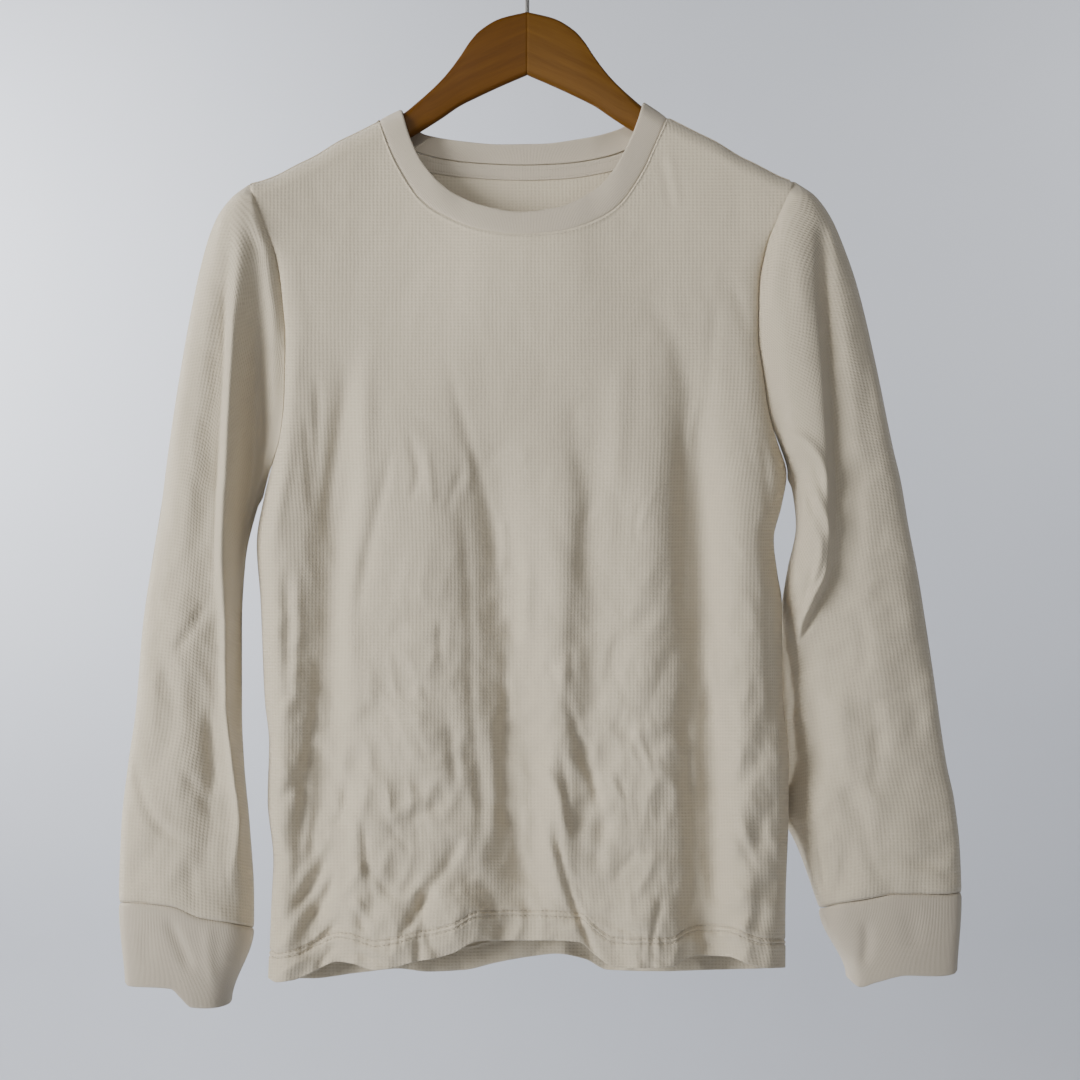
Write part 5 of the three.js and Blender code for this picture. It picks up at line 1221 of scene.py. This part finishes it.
def makeHook():
    # straight up from the wood, an arc aside, then back over the crook: a round wire along that path
    radius = hook["crook"] + hook["wire"] / 2
    join, end = math.radians(hook["joinAngle"]), math.radians(hook["endAngle"])
    joinX, joinZ = radius * math.cos(join), -hook["crook"] - radius * math.sin(join)
    bend = joinX / (1 - math.cos(join))
    stemTop = joinZ - bend * math.sin(join)
    foot = hanger["top"][0][1] - hook["seat"] + hook["footGap"]
    a = np.linspace(0, join, hook["bendSteps"])[1:]
    c = np.linspace(-join, end, hook["crookSteps"])[1:]
    stemZ = np.linspace(foot, stemTop, hook["stemSteps"])
    x = np.concatenate((0 * stemZ, bend * (1 - np.cos(a)), radius * np.cos(c)))
    z = np.concatenate((stemZ, stemTop + bend * np.sin(a), -hook["crook"] + radius * np.sin(c)))
    turn = np.concatenate((0 * stemZ, a, -c))
    tip, tipSize = np.array(hook["tip"]).T  # how far on and how thick
    x = np.concatenate((x, x[-1] + math.sin(turn[-1]) * tip))
    z = np.concatenate((z, z[-1] + math.cos(turn[-1]) * tip))
    size = np.concatenate((0 * turn + 1, tipSize))[:, None] * hook["wire"] / 2
    turn = np.concatenate((turn, turn[-1] + 0 * tip))[:, None]
    angle = np.linspace(0, 2 * np.pi, hook["sides"] + 1)[:-1]
    out = size * np.cos(angle)
    x, z = x[:, None], z[:, None]
    grid = np.stack([x + out * np.cos(turn), size * np.sin(angle), z - out * np.sin(turn)], 2)
    quads, ends = tubeFaces(*out.shape, True)
    return makePiece("wire_hook", grid.reshape(-1, 3), quads.tolist() + ends.tolist(), steelFinish,
                     "hook_steel", "hanger_hook", flatEnds=2)


makeArm("left_arm", "hanger_arm_left", -1, shadedLeftWood)
makeArm("right_arm", "hanger_arm_right", 1, litRightWood)
makeHook()
print("hanger made")

stage = {  # millimetres
    "floorZ": -2300.0, "wallY": 2500.0, "frontY": -3200.0, "halfWidth": 8000.0, "wallTop": 2600.0,
    "bend": 800.0, "shade": (0.70, 0.73, 0.80), "pale": (0.74, 0.77, 0.84),
}
lights = {  # place and aim in metres, size, watts, colour and, for a round lamp, its cone in degrees
    "key": ((-1.45, -0.95, -0.3), (0, 0, -0.42), 0.85, 27, (1.0, 0.985, 0.955)),
    "focus": ((-1.38, -1.02, -0.05), (-0.05, 0, -0.4), 0.8, 64, (1.0, 0.985, 0.955), 27),
    "neck_light": ((-0.25, -1.5, 0.25), (-0.01, 0, -0.172), 0.3, 66, (1.0, 0.985, 0.955), 8),
    "fill": ((-0.5, -1.9, -1.3), (0, 0, -0.6), 1.2, 4, (0.97, 0.98, 1.0)),
    "rear": ((-1.5, 0.6, 0.15), (0, 0, -0.42), 0.8, 26, (0.97, 0.98, 1.0), 32),
    "wall_left": ((-2.2, 1.0, 0.35), (-0.6, 2.5, -0.1), 1.0, 84, (1.0, 1.0, 1.0)),
    "wall_right": ((2.3, 0.9, 0.8), (1.0, 2.5, 0.3), 1.0, 22, (1.0, 1.0, 1.0)),
}


def makeBackdrop():
    # a floor that sweeps up into a wall by a quarter circle
    a, bend, floorZ, wallY = np.linspace(0, np.pi / 2, 24), stage["bend"], stage["floorZ"], stage["wallY"]
    y = np.concatenate(([stage["frontY"]], wallY - bend + bend * np.sin(a), [wallY]))[:, None]
    z = np.concatenate(([floorZ], floorZ + bend * (1 - np.cos(a)), [stage["wallTop"]]))[:, None]
    x = np.linspace(-stage["halfWidth"], stage["halfWidth"], 3)
    grid = np.stack([x + 0 * y, y + 0 * x, z + 0 * x], 2)
    quads = cells(np.arange(y.size * 3).reshape(-1, 3))[:, [0, 3, 2, 1]]
    paint = Finish("pale_floor")
    speck = paint.noise(paint.inPlace(), 3.0)
    painted = paint.shade(Base_Color=paint.blend(stage["shade"], stage["pale"], speck), Roughness=0.9,
                          Specular_IOR_Level=0.2)
    makeMesh("floor", grid.reshape(-1, 3), quads.tolist(), painted)


def addLight(name, position, target, size, energy, colour, cone=None):
    # a round panel, or a round lamp whose light fades out towards the edge of a cone
    light = bpy.data.lights.new(name, "SPOT" if cone else "AREA")
    light.energy, light.color = energy, colour
    if cone:
        light.shadow_soft_size, light.spot_size, light.spot_blend = size / 2, math.radians(cone), 1.0
    else:
        light.shape, light.size = "DISK", size
    holder = bpy.data.objects.new(name, light)
    holder.location = position
    away = np.array(position, float) - np.array(target, float)
    flat = math.hypot(away[0], away[1])
    holder.rotation_euler = (math.atan2(flat, away[2]), 0, math.atan2(away[1], away[0]) + math.pi / 2)
    bpy.context.scene.collection.objects.link(holder)


makeBackdrop()
for name, settings in lights.items():
    addLight(name, *settings)
world = bpy.data.worlds.new("soft_room")
world.use_nodes = True
sky = world.node_tree.nodes["Background"].inputs
sky["Color"].default_value, sky["Strength"].default_value = (0.90, 0.90, 0.91, 1), 0.25
bpy.context.scene.world = world

camera = bpy.data.cameras.new("camera")
camera.lens, camera.sensor_width = view["lens"], view["sensor"]
cameraHolder = bpy.data.objects.new("camera", camera)
cameraHolder.location = (view["x"] * 0.001, -view["distance"] * 0.001, view["z"] * 0.001)
cameraHolder.rotation_euler = (math.pi / 2, 0, 0)
bpy.context.scene.collection.objects.link(cameraHolder)
bpy.context.scene.camera = cameraHolder
print("scene ready")
